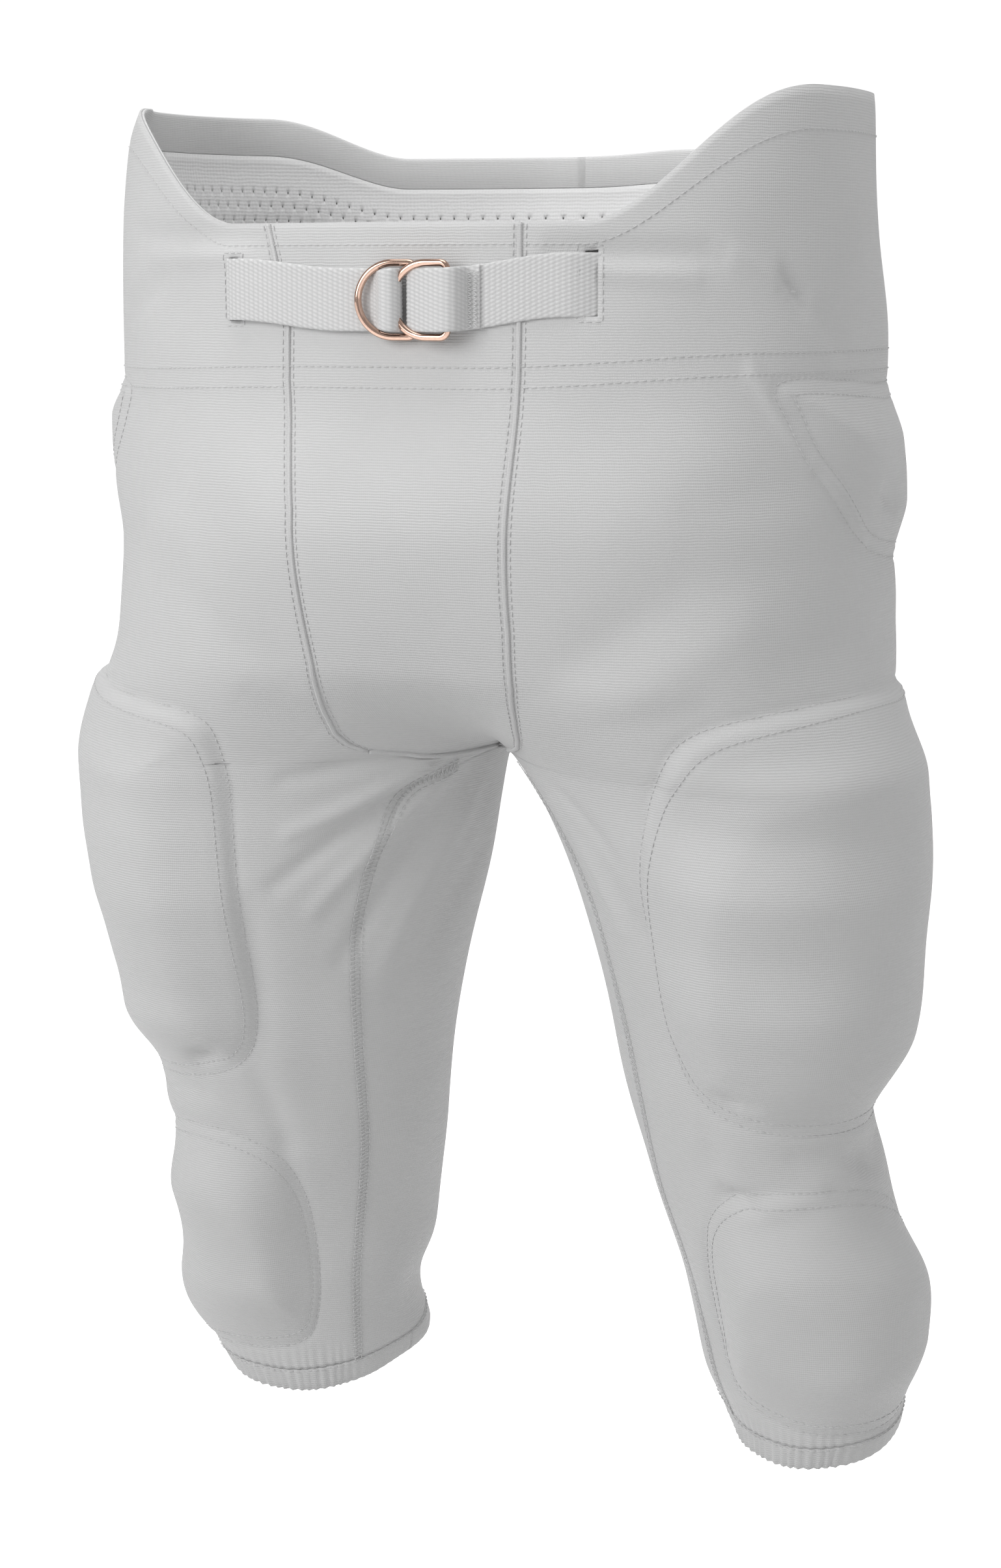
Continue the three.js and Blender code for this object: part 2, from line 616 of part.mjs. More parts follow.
// Hems: a turned-up band of two plies, joined below, with an elastic ring between them.
const hemWall = 2 * FABRIC + LINING + 2 * GAP;
const turned = outside(0).subtract(skin(hemWall, PAST)).intersect(hemZone);
const pocketTop = band(hemRow + PAST, leg(1) + FABRIC);
const between = skin(FABRIC, PAST).subtract(skin(hemWall - FABRIC, PAST)).intersect(pocketTop);
pair("hem_band", turned.subtract(between).intersect(leftHalf(GAP)), KNIT);
const elasticZone = band(hemRow - 1, leg(1) + FABRIC + GAP);
const elasticWall = skin(FABRIC + GAP, PAST).subtract(skin(FABRIC + GAP + LINING, PAST));
pair("hem_elastic", elasticWall.intersect(elasticZone).intersect(leftHalf(GAP)), TAPE);

// Waist: the belt tunnel's facing at the front, mesh lining at the back, a strip at the edge.
const facingWall = skin(-facingOut, PAST).subtract(skin(-facingOut + LINING, PAST));
const facing = facingWall.intersect(band(-EDGE_STRIP - GAP, -TUNNEL_DEPTH));
const SIDE_SEAM = 8;                // degrees in front of straight outward
const waistFront = (g) => {
  const levels = [TALL[1], TALL[0]].map((z) => ({ z, from: SIDE_SEAM - g, to: 200 }));
  const zone = wedge(levels).intersect(leftHalf(-OVERLAP));
  return zone.add(mirrored(zone));
};
part("tunnel_facing_front", facing.intersect(waistFront(0)), KNIT);
part("waist_lining_back", facing.subtract(waistFront(GAP / MM_PER_DEGREE)), MESH_LINING);
const stripWall = skin(FABRIC + GAP, PAST).subtract(skin(-facingOut + LINING, PAST));
part("waist_edge_elastic", stripWall.intersect(band(-0.5, -EDGE_STRIP)), TAPE);

// Pads and the pocket linings that hold them against the shell.
const padSpace = volume((a, x, z) => bulge(a, x, z) - FABRIC - GAP, PAST).subtract(skin(FABRIC + GAP, PAST));
const liningWall = skin(FABRIC + 2 * GAP, PAST).subtract(skin(FABRIC + 2 * GAP + LINING, PAST));
for (const [name, place] of Object.entries(PADS)) {
  const own = leftHalf(GAP);
  pair(`${name}_pad`, padSpace.intersect(padRegion(place, 0)).intersect(own), FOAM);
  pair(`${name}_pocket_lining`, liningWall.intersect(padRegion(place, POCKET_BORDER)).intersect(own),
    MESH_LINING);
}
part("tail_pad", padSpace.intersect(tailRegion(0)), FOAM);
part("tail_pocket_lining", liningWall.intersect(tailRegion(POCKET_BORDER)), MESH_LINING);

// Belt: one webbing, cut clear of the rings, the two rings, and the stitching of the loop.
const RING_ROOM = wire + GAP;
const SWING_STEP = 3;
let webbing = strap(beltPath, WEBBING, beltLow, beltHigh);
for (const [bar, most] of [[ringBars.strap, STRAP_RING_SWING], [ringBars.loop, LOOP_RING_SWING]]) {
  for (let swing = 0; swing <= most; swing += SWING_STEP) {
    webbing = webbing.subtract(ring(bar, RING_ROOM, swing));
  }
}
part("belt_webbing", webbing, TAPE);
part("d_ring_strap_side", ring(ringBars.strap, wire), METAL);
part("d_ring_loop_side", ring(ringBars.loop, wire), METAL);
const bartackOut = second + WEBBING / 2 + GAP + 0.3;
const bartack = [LOOP_END_X - 3, LOOP_END_X - 1].map((x) => atFront(x, bartackOut));
part("loop_bartack", strap(bartack, 0.6, beltLow + 2, beltHigh - 2), THREAD);

export default object;
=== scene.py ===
import json
import math

import bpy
import numpy as np
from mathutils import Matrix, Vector


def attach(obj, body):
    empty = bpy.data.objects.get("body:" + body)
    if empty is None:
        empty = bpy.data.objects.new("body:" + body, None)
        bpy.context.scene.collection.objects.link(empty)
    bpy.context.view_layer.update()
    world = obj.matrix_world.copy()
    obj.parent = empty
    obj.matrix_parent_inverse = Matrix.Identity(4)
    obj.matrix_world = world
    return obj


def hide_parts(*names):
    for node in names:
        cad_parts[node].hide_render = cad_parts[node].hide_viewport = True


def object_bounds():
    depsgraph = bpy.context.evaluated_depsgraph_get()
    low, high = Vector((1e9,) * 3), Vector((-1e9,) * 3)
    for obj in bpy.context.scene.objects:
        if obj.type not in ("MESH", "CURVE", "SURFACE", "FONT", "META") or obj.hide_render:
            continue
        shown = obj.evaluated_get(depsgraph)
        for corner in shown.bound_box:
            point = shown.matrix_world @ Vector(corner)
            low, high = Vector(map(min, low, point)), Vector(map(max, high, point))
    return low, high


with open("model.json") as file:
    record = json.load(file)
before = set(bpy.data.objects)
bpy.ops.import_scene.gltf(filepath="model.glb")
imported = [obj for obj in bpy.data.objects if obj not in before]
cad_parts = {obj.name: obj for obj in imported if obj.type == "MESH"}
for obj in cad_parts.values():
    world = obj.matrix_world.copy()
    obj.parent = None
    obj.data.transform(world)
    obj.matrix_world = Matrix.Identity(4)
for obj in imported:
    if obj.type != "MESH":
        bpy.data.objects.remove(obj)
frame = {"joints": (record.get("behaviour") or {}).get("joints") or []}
cad_low, cad_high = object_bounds()

# --- Studio ---------------------------------------------------------------------------------
# A plain pale room. One large soft light stands high at the front on the wearer's right, so
# the wearer's left leg falls into a gentle shade, and weaker ones fill from the other sides.
look_at = Vector((0.002, 0.0, -0.248))
CAMERA_TURN, CAMERA_RISE, CAMERA_AWAY = math.radians(22), math.radians(10), 1.3


def aimed(thing, place):
    """Stands a camera or light at a place and turns its -Z axis towards the pants' middle."""
    thing.location = place
    thing.rotation_euler = (look_at - thing.location).to_track_quat("-Z", "Y").to_euler()
    bpy.context.scene.collection.objects.link(thing)
    return thing


camera_data = bpy.data.cameras.new("studio_camera")
camera_data.lens = 65.9
camera_data.sensor_width = 36
from_camera = Vector((
    math.sin(CAMERA_TURN) * math.cos(CAMERA_RISE), -math.cos(CAMERA_TURN) * math.cos(CAMERA_RISE),
    math.sin(CAMERA_RISE)))
camera = bpy.data.objects.new("studio_camera", camera_data)
bpy.context.scene.camera = aimed(camera, look_at + CAMERA_AWAY * from_camera)

for light_name, place, size, watts in (
    ("key_light", (-1.1, -1.9, 0.65), 1.3, 24.0),
    ("fill_light", (1.8, -1.3, 0.2), 1.6, 3.0),
    ("top_light", (0.1, -0.2, 1.6), 1.2, 11.0),
    ("back_light", (-0.7, 1.7, 0.6), 1.4, 8.0),
):
    light_data = bpy.data.lights.new(light_name, "AREA")
    light_data.size = size
    light_data.energy = watts
    aimed(bpy.data.objects.new(light_name, light_data), place)

room = bpy.data.worlds.new("pale_room")
bpy.context.scene.world = room
room.use_nodes = True
ROOM_GLOW, ROOM_SEEN = 0.43, 1.05


def add_node(tree, kind, data_type=None, **values):
    """A shader node with constants on its named inputs; an underscore stands for a space."""
    node = tree.nodes.new("ShaderNode" + kind)
    if data_type:
        node.data_type = data_type
    for socket, value in values.items():
        node.inputs[socket.replace("_", " ")].default_value = value
    return node


air = room.node_tree
backdrop = air.nodes["Background"]
backdrop.inputs["Color"].default_value = (1, 1, 1, 1)
seen = add_node(air, "MapRange", To_Min=ROOM_GLOW, To_Max=ROOM_SEEN)
air.links.new(add_node(air, "LightPath").outputs["Is Camera Ray"], seen.inputs["Value"])
air.links.new(seen.outputs[0], backdrop.inputs["Strength"])
bpy.context.scene.view_settings.view_transform = "Standard"

FLOOR_ACROSS, FLOOR_DROP, FLOOR_GLOW = 30, 0.25, 0.85
bpy.ops.mesh.primitive_plane_add(size=FLOOR_ACROSS, location=(0, 0, cad_low[2] - FLOOR_DROP))
floor = bpy.context.object
floor.name = "studio_floor"
floor_paint = bpy.data.materials.new("floor_paint")
floor_paint.use_nodes = True
for socket, value in (("Base Color", (0.9, 0.9, 0.9, 1)), ("Roughness", 0.9),
                      ("Emission Color", (1, 1, 1, 1)), ("Emission Strength", FLOOR_GLOW)):
    floor_paint.node_tree.nodes["Principled BSDF"].inputs[socket].default_value = value
floor.data.materials.append(floor_paint)
floor.visible_diffuse = False

# --- Shell ----------------------------------------------------------------------------------
# Five panels of bright stretch knit, worn tight: a gusset at the front middle, a front panel
# round each leg from outseam to inseam, and a back panel each side. Sizes are millimetres.
MM = 0.001
RISE, INSEAM, HEM_HEIGHT = 234.0, 337.0, 13.0
WAIST_ACROSS, WAIST_DEEP = 168.0, 112.0
KNIT = 1.2
LEG_END = -RISE - INSEAM
LEFT, RIGHT = 1, -1


def hip(share):
    return -RISE * share


def leg(share):
    return -RISE - INSEAM * share


# One half of the wearer's body is an oval at each height: middle, half sizes, turn in degrees,
# fillet where the two halves' ovals meet, and the power that squares the oval off.
STATIONS = np.array([
    (80, 0, 2, WAIST_ACROSS - 5, WAIST_DEEP - 4, 0, 1, 2.3),
    (0, 0, 2, WAIST_ACROSS, WAIST_DEEP, 0, 1, 2.3),
    (hip(0.3), 5, 4, WAIST_ACROSS - 3, WAIST_DEEP + 1, 0, 10, 2.3),
    (hip(0.555), 30, 8, 142, 116, 4, 55, 2.25),
    (hip(0.79), 65, 13, 115, 110, 14, 60, 2.15),
    (leg(0), 99, 16, 93, 87, 30, 14, 2.05),
    (leg(0.2), 111, 20, 83, 72, 45, 10, 2),
    (leg(0.4), 115, 32, 73, 61, 45, 10, 2),
    (leg(0.57), 120, 49, 65, 55, 45, 10, 2),
    (leg(0.76), 128, 69, 62, 51, 45, 10, 2),
    (leg(0.92), 129, 78, 54, 46, 45, 10, 2),
    (leg(1.04), 127, 81, 42, 39, 45, 10, 2),
], float)[::-1]
AXIS_MIN_X = 70.0
HALVINGS = 26


def along(z, column):
    """Monotone cubic through one column of the stations: tangents are harmonic means of slopes."""
    heights, values = STATIONS[:, 0], STATIONS[:, column]
    step = np.diff(heights)
    slope = np.diff(values) / step
    before, after = slope[:-1], slope[1:]
    same_way = before * after > 0
    mean = np.where(same_way, 2 * before * after / np.where(same_way, before + after, 1), 0)
    tangent = np.concatenate(([slope[0]], mean, [slope[-1]]))
    i = np.clip(np.searchsorted(heights, z) - 1, 0, len(step) - 1)
    t = np.clip((z - heights[i]) / step[i], 0, 1)
    ends = (1 + 2 * t) * (1 - t) ** 2 * values[i] + t * t * (3 - 2 * t) * values[i + 1]
    return ends + step[i] * (t * (1 - t) ** 2 * tangent[i] + t * t * (t - 1) * tangent[i + 1])


def station(z):
    """Middle, half sizes, cosine and sine of the turn, fillet and power at heights z."""
    x, y, across, deep, turn, blend, power = (along(z, column) for column in range(1, 8))
    return x, y, across, deep, np.cos(np.radians(turn)), np.sin(np.radians(turn)), blend, power


def field(x, y, at):
    """Below zero in the body: the lesser of two mirrored ovals, less a fillet where they meet."""
    mid_x, mid_y, across, deep, cos, sin, blend, power = at
    ovals = []
    for aside in (x, -x):
        dx, dy = aside - mid_x, y - mid_y
        u, v = np.abs((dx * cos - dy * sin) / across), np.abs((dx * sin + dy * cos) / deep)
        ovals.append(((u ** power + v ** power) ** (1 / power) - 1) * deep)
    overlap = np.maximum(blend - np.abs(ovals[0] - ovals[1]), 0) / blend
    return np.minimum(*ovals) - overlap ** 2 * blend / 4


def leg_axis(z):
    """The upright axis that a half's angles are measured about: 0 outward, 90 front, -90 back."""
    return np.maximum(along(z, 1), AXIS_MIN_X), along(z, 2)


def surface_along(x, y, z, dx, dy, limit):
    """Distance from points in the body to its surface along level rays, by halving."""
    at = station(z)
    low, high = np.zeros(np.shape(z)), np.broadcast_to(limit, np.shape(z)).astype(float)
    for _ in range(HALVINGS):
        middle = (low + high) / 2
        inside = field(x + dx * middle, y + dy * middle, at) < 0
        low, high = np.where(inside, middle, low), np.where(inside, high, middle)
    return low


def skin_point(angle, z):
    """The bare left half at an angle in degrees and a height, no further than the middle plane."""
    angle, z = np.broadcast_arrays(np.asarray(angle, float), np.asarray(z, float))
    axis_x, axis_y = leg_axis(z)
    dx, dy = np.cos(np.radians(angle)), -np.sin(np.radians(angle))
    limit = np.where(dx < -1e-6, np.minimum(300, axis_x / np.maximum(-dx, 1e-6)), 300)
    out = surface_along(axis_x, axis_y, z, dx, dy, limit)
    return axis_x + dx * out, axis_y + dy * out


def angle_at(x, z, front=True):
    """Angle about the axis of the bare surface at a distance x from the middle plane."""
    x, z = np.broadcast_arrays(np.abs(np.asarray(x, float)), np.asarray(z, float))
    axis_x, axis_y = leg_axis(z)
    way = -1.0 if front else 1.0
    out = surface_along(x, axis_y, z, 0.0, way, 200)
    return np.degrees(np.arctan2(-way * out, x - axis_x))


def skin_normal(x, y, z):
    """Unit gradient of the body's field, level with the middle plane where it meets it."""
    e = 0.2
    at = station(z)
    n = np.stack([
        np.where(x < 0.05, 0, field(x + e, y, at) - field(x - e, y, at)),
        field(x, y + e, at) - field(x, y - e, at),
        field(x, y, station(z + e)) - field(x, y, station(z - e)),
    ], axis=-1)
    return n / np.linalg.norm(n, axis=-1, keepdims=True)


def smooth(t):
    """Zero to one, level at both ends."""
    t = np.clip(t, 0, 1)
    return t * t * (3 - 2 * t)


# The wearer's leg is unrolled for drawing: a degree round it is about this many millimetres.
MM_PER_DEGREE = 1.35


def spline(p, count):
    """Catmull-Rom cubic through points, count to a span; its first and last points only aim it."""
    t = np.linspace(0, 1, count, endpoint=False)[:, None]
    return np.concatenate([
        0.5 * (2 * b + (c - a) * t + (2 * a - 5 * b + 4 * c - d) * t ** 2 + (3 * b - a - 3 * c + d) * t ** 3)
        for a, b, c, d in zip(p[:-3], p[1:-2], p[2:-1], p[3:])])


def resampled(line, steps, spans):
    """The line cut anew into equal spans, given the lengths of its own steps."""
    run = np.concatenate([[0], np.cumsum(steps)])
    even = np.linspace(0, run[-1], spans(run[-1]) + 1)
    return np.stack([np.interp(even, run, line[:, k]) for k in range(line.shape[1])], axis=1)


def curve_through(points, closed=False, step=3.0):
    """Smooth curve through (angle, height) points, even on the unrolled leg."""
    p = np.array(points, float)
    line = spline(np.concatenate([p[-1:], p, p[:2]] if closed else [p[:1], p, p[-1:]]), 12)
    line = np.concatenate([line, line[:1] if closed else p[-1:]])
    steps = np.hypot(np.diff(line[:, 0]) * MM_PER_DEGREE, np.diff(line[:, 1]))
    return resampled(line, steps, lambda length: max(int(length / step), 2))


def beside(path, aside):
    """The curve that runs at a distance aside from a path, on the unrolled leg."""
    flat = path * (MM_PER_DEGREE, 1)
    t = np.gradient(flat, axis=0)
    if np.allclose(path[0], path[-1]):
        t[0] = t[-1] = flat[1] - flat[-2]
    t /= np.linalg.norm(t, axis=1, keepdims=True) + 1e-9
    return (flat + np.stack([-t[:, 1], t[:, 0]], axis=1) * aside) / (MM_PER_DEGREE, 1)


def distance_to(path, angle, z):
    """Millimetres from points to the nearest part of a path, on the unrolled leg."""
    px, py = angle * MM_PER_DEGREE, z
    flat = path * (MM_PER_DEGREE, 1)
    nearest = np.full(np.shape(px), 1e9)
    for (ax, ay), (bx, by) in zip(flat[:-1], flat[1:]):
        ex, ey = bx - ax, by - ay
        t = np.clip(((px - ax) * ex + (py - ay) * ey) / (ex * ex + ey * ey + 1e-9), 0, 1)
        nearest = np.minimum(nearest, (px - ax - t * ex) ** 2 + (py - ay - t * ey) ** 2)
    return np.sqrt(nearest)


def inside_of(path, angle, z):
    """Whether points lie inside a closed path, by counting crossings of a level ray."""
    inside = np.zeros(np.shape(angle), bool)
    for (ax, ay), (bx, by) in zip(path[:-1], path[1:]):
        if ay != by:
            inside ^= ((ay > z) != (by > z)) & (angle < ax + (bx - ax) * (z - ay) / (by - ay))
    return inside


# Pads lie in pockets between the shell and a lining. Each pocket is an outline of angles and
# heights; the double row of stitching that makes it follows the same outline.
POCKETS = {
    (LEFT, "thigh"): [(-24, -196), (8, -194), (36, -196), (66, -205), (84, -224), (97, -252), (105, -284),
                      (108, -321), (106, -352), (99, -374), (84, -386), (50, -392), (10, -388), (-20, -378),
                      (-30, -356), (-32, -300), (-30, -220)],
    (RIGHT, "thigh"): [(-24, -200), (8, -199), (38, -203), (74, -209), (87, -226), (93, -258), (97, -315),
                       (98, -358), (92, -380), (76, -391), (46, -397), (10, -398), (-20, -392), (-30, -370),
                       (-32, -300), (-30, -222)],
    (LEFT, "knee"): [(0, -446), (22, -428), (56, -420), (92, -426), (112, -447), (122, -480), (122, -516),
                     (110, -538), (70, -549), (20, -545), (-6, -522), (-10, -480)],
    (RIGHT, "knee"): [(6, -440), (36, -426), (70, -422), (96, -433), (112, -458), (118, -490), (116, -524),
                      (104, -542), (60, -547), (14, -544), (0, -520), (-2, -470)],
    (LEFT, "hip"): [(-50, -68), (-4, -66), (38, -63), (38, -82), (30, -104), (12, -132), (-14, -142),
                    (-48, -140), (-54, -104)],
    (RIGHT, "hip"): [(-50, -68), (-4, -67), (36, -67), (36, -84), (28, -104), (10, -131), (-14, -140),
                     (-48, -138), (-54, -104)],
}
POCKETS = {key: curve_through(points, closed=True) for key, points in POCKETS.items()}
LIFT = {"thigh": (12.0, 38.0, 0.34), "knee": (11.5, 40.0, 0.12), "hip": (6.5, 26.0, 0.16)}
TAIL_HALF, TAIL_TOP, TAIL_END, TAIL_LIFT = 42.0, -66.0, -166.0, 8.0

# Slow swells of the form: angle, height, half widths round and down, lift, lean in degrees.
SWELLS = {
    LEFT: [
        (-22, -300, 60, 85, -7.5, 0), (-22, -400, 55, 50, -6.0, 0), (-22, -505, 42, 42, -5.5, 0),
        (-22, -222, 50, 34, -12.5, 0), (-22, -383, 45, 22, -6.5, 0), (158, -300, 60, 90, -3.5, 0),
        (158, -562, 45, 20, -7.0, 0), (-22, -150, 50, 40, 2.5, 0), (-22, -45, 50, 30, 2.5, 0),
        (175, -410, 50, 60, 3.0, 0), (-15, 20, 60, 40, -2.0, 0), (125, -470, 30, 50, 2.5, 0),
        (60, -226, 70, 8, 1.6, 4), (60, -250, 60, 10, -1.9, 6), (62, -276, 60, 11, 1.9, 5),
        (60, -303, 60, 12, -1.9, 4), (60, -330, 55, 12, 1.9, 3), (58, -358, 50, 12, -1.7, 2),
        (50, -470, 60, 14, 1.2, 0), (50, -506, 60, 14, -1.0, 0),
    ],
    RIGHT: [
        (24, -206, 60, 20, 6.0, 0), (24, -250, 60, 40, 3.0, 0), (24, -335, 50, 40, -2.5, 0),
        (24, -486, 40, 36, -9.0, 0), (24, -408, 30, 22, 4.5, 0), (24, -532, 36, 20, 6.5, 0),
        (70, -275, 40, 60, 2.0, 0), (104, -490, 28, 46, -4.0, 0), (204, -285, 50, 40, 6.0, 0),
        (205, -550, 32, 12, 5.0, 0), (203, -522, 30, 18, -5.5, 0), (24, 60, 34, 13, -9.0, 0),
        (24, -108, 30, 28, 5.5, 0), (205, -330, 75, 70, 6.0, 0), (205, -440, 60, 60, 4.5, 0),
        (20, -30, 50, 45, 3.5, 0), (20, -165, 60, 30, 2.0, 0),
        (60, -300, 60, 12, 1.1, 3), (60, -345, 55, 13, -1.0, 3), (60, -255, 60, 12, -0.9, 4),
    ],
}
# Folds and dimples: angle and height of both ends, half width, lift.
FOLDS = {
    LEFT: [
        (92, -11, 54, -13, 4.5, -1.9), (90, -19, 60, -22, 4, 1.3), (54, -10, 36, -28, 4.5, 1.2),
        (38, -22, 32, -31, 4, -3.4), (30, -34, 18, -52, 6, -1.2), (47, -60, 33, -96, 4, 1.9),
        (31, -98, 11, -132, 4, 1.8), (6, -111, -3, -118, 5, -2.8), (86, -371, 77, -374, 5, -2.6),
        (96, -425, 84, -428, 4.5, -3.4), (35, -408, 25, -415, 5.5, -3.4), (84, -431, 56, -421, 5, 1.6),
        (60, -404, 20, -405, 8, -2.2), (122, -262, 104, -330, 8, -1.4), (137, -250, 121, -300, 6, 1.3),
        (128, -240, 112, -268, 5, -1.5), (100, -398, 96, -416, 8, -2.0), (114, -452, 119, -505, 6, -1.8),
        (112, -300, 109, -392, 7, -1.2), (90, -206, 62, -196, 6, -1.0), (66, -150, 96, -190, 12, -1.2),
        (50, -160, 88, -206, 10, 0.9), (60, -112, 30, -104, 12, -1.0), (-20, -170, 40, -178, 12, -1.2),
    ],
    RIGHT: [
        (94, -6, 48, -3, 5, -1.7), (90, -13, 55, -14, 4, 1.2), (60, -24, 40, -36, 6, -1.4),
        (152, -238, 112, -266, 4.5, 2.2), (150, -245, 108, -292, 5, -2.2), (160, -243, 122, -304, 5, 2.0),
        (168, -246, 134, -330, 6, -2.0), (178, -252, 150, -335, 6, 1.6), (142, -231, 108, -240, 4.5, -1.8),
        (188, -282, 160, -350, 8, -1.5), (78, -378, 70, -382, 4.5, -3.6), (94, -384, 105, -430, 7, -1.8),
        (103, -430, 117, -500, 6, -1.5), (99, -300, 99, -372, 7, -1.4), (30, -406, 66, -402, 8, -2.4),
        (128, -300, 119, -420, 12, -0.6), (90, -200, 110, -215, 8, -1.5),
        (66, -150, 96, -190, 12, -1.0), (50, -110, 88, -120, 14, -0.9),
    ],
}
# Rows of stitching sunk into the knit, filled in below, and the gathers' count and height.
STITCHED = {LEFT: [], RIGHT: []}
GROOVE_DEEP, GROOVE_HALF = 0.5, 1.8
HEM_RIBS, HEM_RIB_HIGH = 66, 0.75
PAD_CROWN, PAD_CROWN_RUN = 0.14, 45
LUMP = 0.5


def round_mm(z):
    """Millimetres round the body for each degree at heights z."""
    return np.radians((along(z, 3) + along(z, 4)) / 2)


def knit_lift(side, angle, z, x):
    """Height of the knit over the bare body: pads, swells, folds, seams and gathered hems."""
    side, angle, z, x = np.broadcast_arrays(side, angle, z, x)
    total = np.zeros(angle.shape)
    for here in np.unique(side):
        mine = side == here
        a, h, aside = angle[mine], z[mine], x[mine]
        scale = round_mm(h)
        behind = a < 0
        a = np.where(a < -100, a + 360, a)
        lift = np.zeros(a.shape)
        for kind, (thick, ease, step) in LIFT.items():
            outline = POCKETS[here, kind]
            near = distance_to(outline, a, h) * np.where(inside_of(outline, a, h), 1, -1)
            crown = 1 + PAD_CROWN * smooth(near / PAD_CROWN_RUN)
            step = step * smooth((h + 400) / 70) if kind == "thigh" else step
            form = step * smooth((near + 1) / 7) + (crown - step) * smooth(near / ease)
            lift = np.maximum(lift, thick * form)
        tail = (smooth((TAIL_HALF + 8 - aside) / 14) * smooth((TAIL_TOP + 4 - h) / 12)
                * smooth((h - TAIL_END + 6) / 18))
        lift = np.maximum(lift, np.where(behind, TAIL_LIFT * tail, 0))
        shape = np.zeros(a.shape)
        for mid, height, wide, high, up, lean in SWELLS[here]:
            c, s = math.cos(math.radians(lean)), math.sin(math.radians(lean))
            px, py = (a - mid) * scale, h - height
            shape += up * np.exp(-((px * c + py * s) / wide) ** 2 - ((py * c - px * s) / high) ** 2)
        for a0, h0, a1, h1, wide, up in FOLDS[here]:
            px, py = (a - a0) * scale, h - h0
            ex, ey = (a1 - a0) * scale, h1 - h0
            t = np.clip((px * ex + py * ey) / (ex * ex + ey * ey), 0, 1)
            away = (px - t * ex) ** 2 + (py - t * ey) ** 2
            shape += 1.15 * up * np.exp(-away / wide ** 2) * np.sin(np.pi * (0.2 + 0.6 * t))
        shape += (LUMP * np.sin(np.radians(5 * a) + h * 0.05 + 1.7 * here)
                  * np.sin(h * 0.023 + np.radians(3 * a)))
        free = np.maximum(smooth(aside / 25), smooth((-h - RISE) / 30))
        lift = lift + shape * free
        for path in STITCHED[here]:
            lift = lift - GROOVE_DEEP * np.exp(-(distance_to(path, a, h) / GROOVE_HALF) ** 2)
        low = smooth((-h - RISE - INSEAM * 0.9) / (INSEAM * 0.12))
        front = smooth((a - 35) / 25) * smooth((150 - a) / 25)
        gather = np.sin(np.radians(HEM_RIBS * a) + 0.7 * np.sin(np.radians(17 * a)))
        lift = lift + low * (0.25 + 0.75 * front) * HEM_RIB_HIGH * gather
        total[mine] = lift
    return total


def knit_point(side, angle, z, out=0.0):
    """Point on the shell's outer face, moved out along the normal; the right half is mirrored."""
    side, angle, z, out = np.broadcast_arrays(side, np.asarray(angle, float), np.asarray(z, float), out)
    x, y = skin_point(angle, z)
    lift = knit_lift(side, angle, z, x) + out
    p = np.stack([x, y, z], axis=-1) + skin_normal(x, y, z) * lift[..., None]
    p[..., 0] = np.maximum(p[..., 0], 0) * side
    return p


def row_height(side, row, angle):
    """A row's height: level at the front, climbing to the sides and the back, and at the calf."""
    side, row, angle = np.broadcast_arrays(side, np.asarray(row, float), np.asarray(angle, float))
    x, _ = skin_point(angle, row)
    back = angle < 0
    aside = smooth((x - np.where(back, np.where(side == LEFT, 100, 86), 78)) / np.where(back, 60, 82))
    foot = np.where(back, 34.0 + np.where(side == LEFT, 2.5 * np.exp(-((x - 50) / 28) ** 2), 0), 0)
    crest = np.where(side == LEFT, 54.5, 52.0)
    climb = foot + (crest - foot) * aside
    z = row + np.where(row > -58, climb * (1 + row / 58), 0)
    low = smooth((-row - RISE - INSEAM * 0.7) / (INSEAM * 0.3))
    return z + low * HEM_HEIGHT * (1 - np.sin(np.radians(angle)))


def table(points):
    """Straight lines through (height, value) pairs, as a function of height."""
    heights, values = np.array(sorted(points), float).T
    return lambda z: np.interp(z, heights, values)


# Seams: the gusset's half width each side, the outseam behind the hip, and the inseam.
CROTCH = -RISE
gusset_half = {
    LEFT: table([(60, 55), (0, 53.5), (-61, 53), (-86, 52), (-130, 50), (-165, 48), (-190, 44.5), (-206, 40),
                 (-216, 36), (-222, 31), (-226, 23), (-229, 12), (-230.5, 0)]),
    RIGHT: table([(60, 62), (0, 59), (-14, 55), (-42, 48.5), (-64, 49), (-88, 47.5), (-117, 44.5), (-140, 45),
                  (-184, 45.5), (-206, 48), (-218, 48), (-224, 45), (-228, 39), (-230.5, 29), (-232.5, 15),
                  (-233.5, 0)]),
}
outseam = table([(60, -62), (-210, -62), (-318, -60), (-402, -58), (-487, -56), (-600, -56)])
inseam = table([(height, angle) for angle, height in curve_through([
    (180, CROTCH), (163, -238), (149, -248), (143, -268), (140, -300), (139, -340), (141, -380), (144, -430),
    (142, -480), (139, -520), (140, -600)])])


def front_edge(side, z):
    """Angle of a front panel's inner edge: the gusset's seam, the middle plane, or the inseam."""
    return np.where(z > CROTCH, angle_at(gusset_half[side](z), z), inseam(z))


def back_middle(z):
    """Angle of the centre back seam, and of the inseam seen from behind."""
    return np.where(z > CROTCH, angle_at(0, z, front=False), inseam(z) - 360)


STEP = 2.35
ROWS = np.concatenate([
    np.arange(0, -214, -STEP), np.arange(-214, -236, -0.7), np.arange(-236.5, LEG_END + HEM_HEIGHT, -STEP),
    [LEG_END + HEM_HEIGHT],
])


def seam_shares(width, count):
    """Shares of each row from 0 to 1, even in the middle and closer within 3 mm of both edges."""
    near = np.array([0, 0.7, 1.6, 2.9]) / np.maximum(width, 24)[:, None]
    edge = near[:, -1:]
    middle = edge + (1 - 2 * edge) * np.linspace(0, 1, count)[None, 1:-1]
    return np.concatenate([near, middle, 1 - near[:, ::-1]], axis=1)


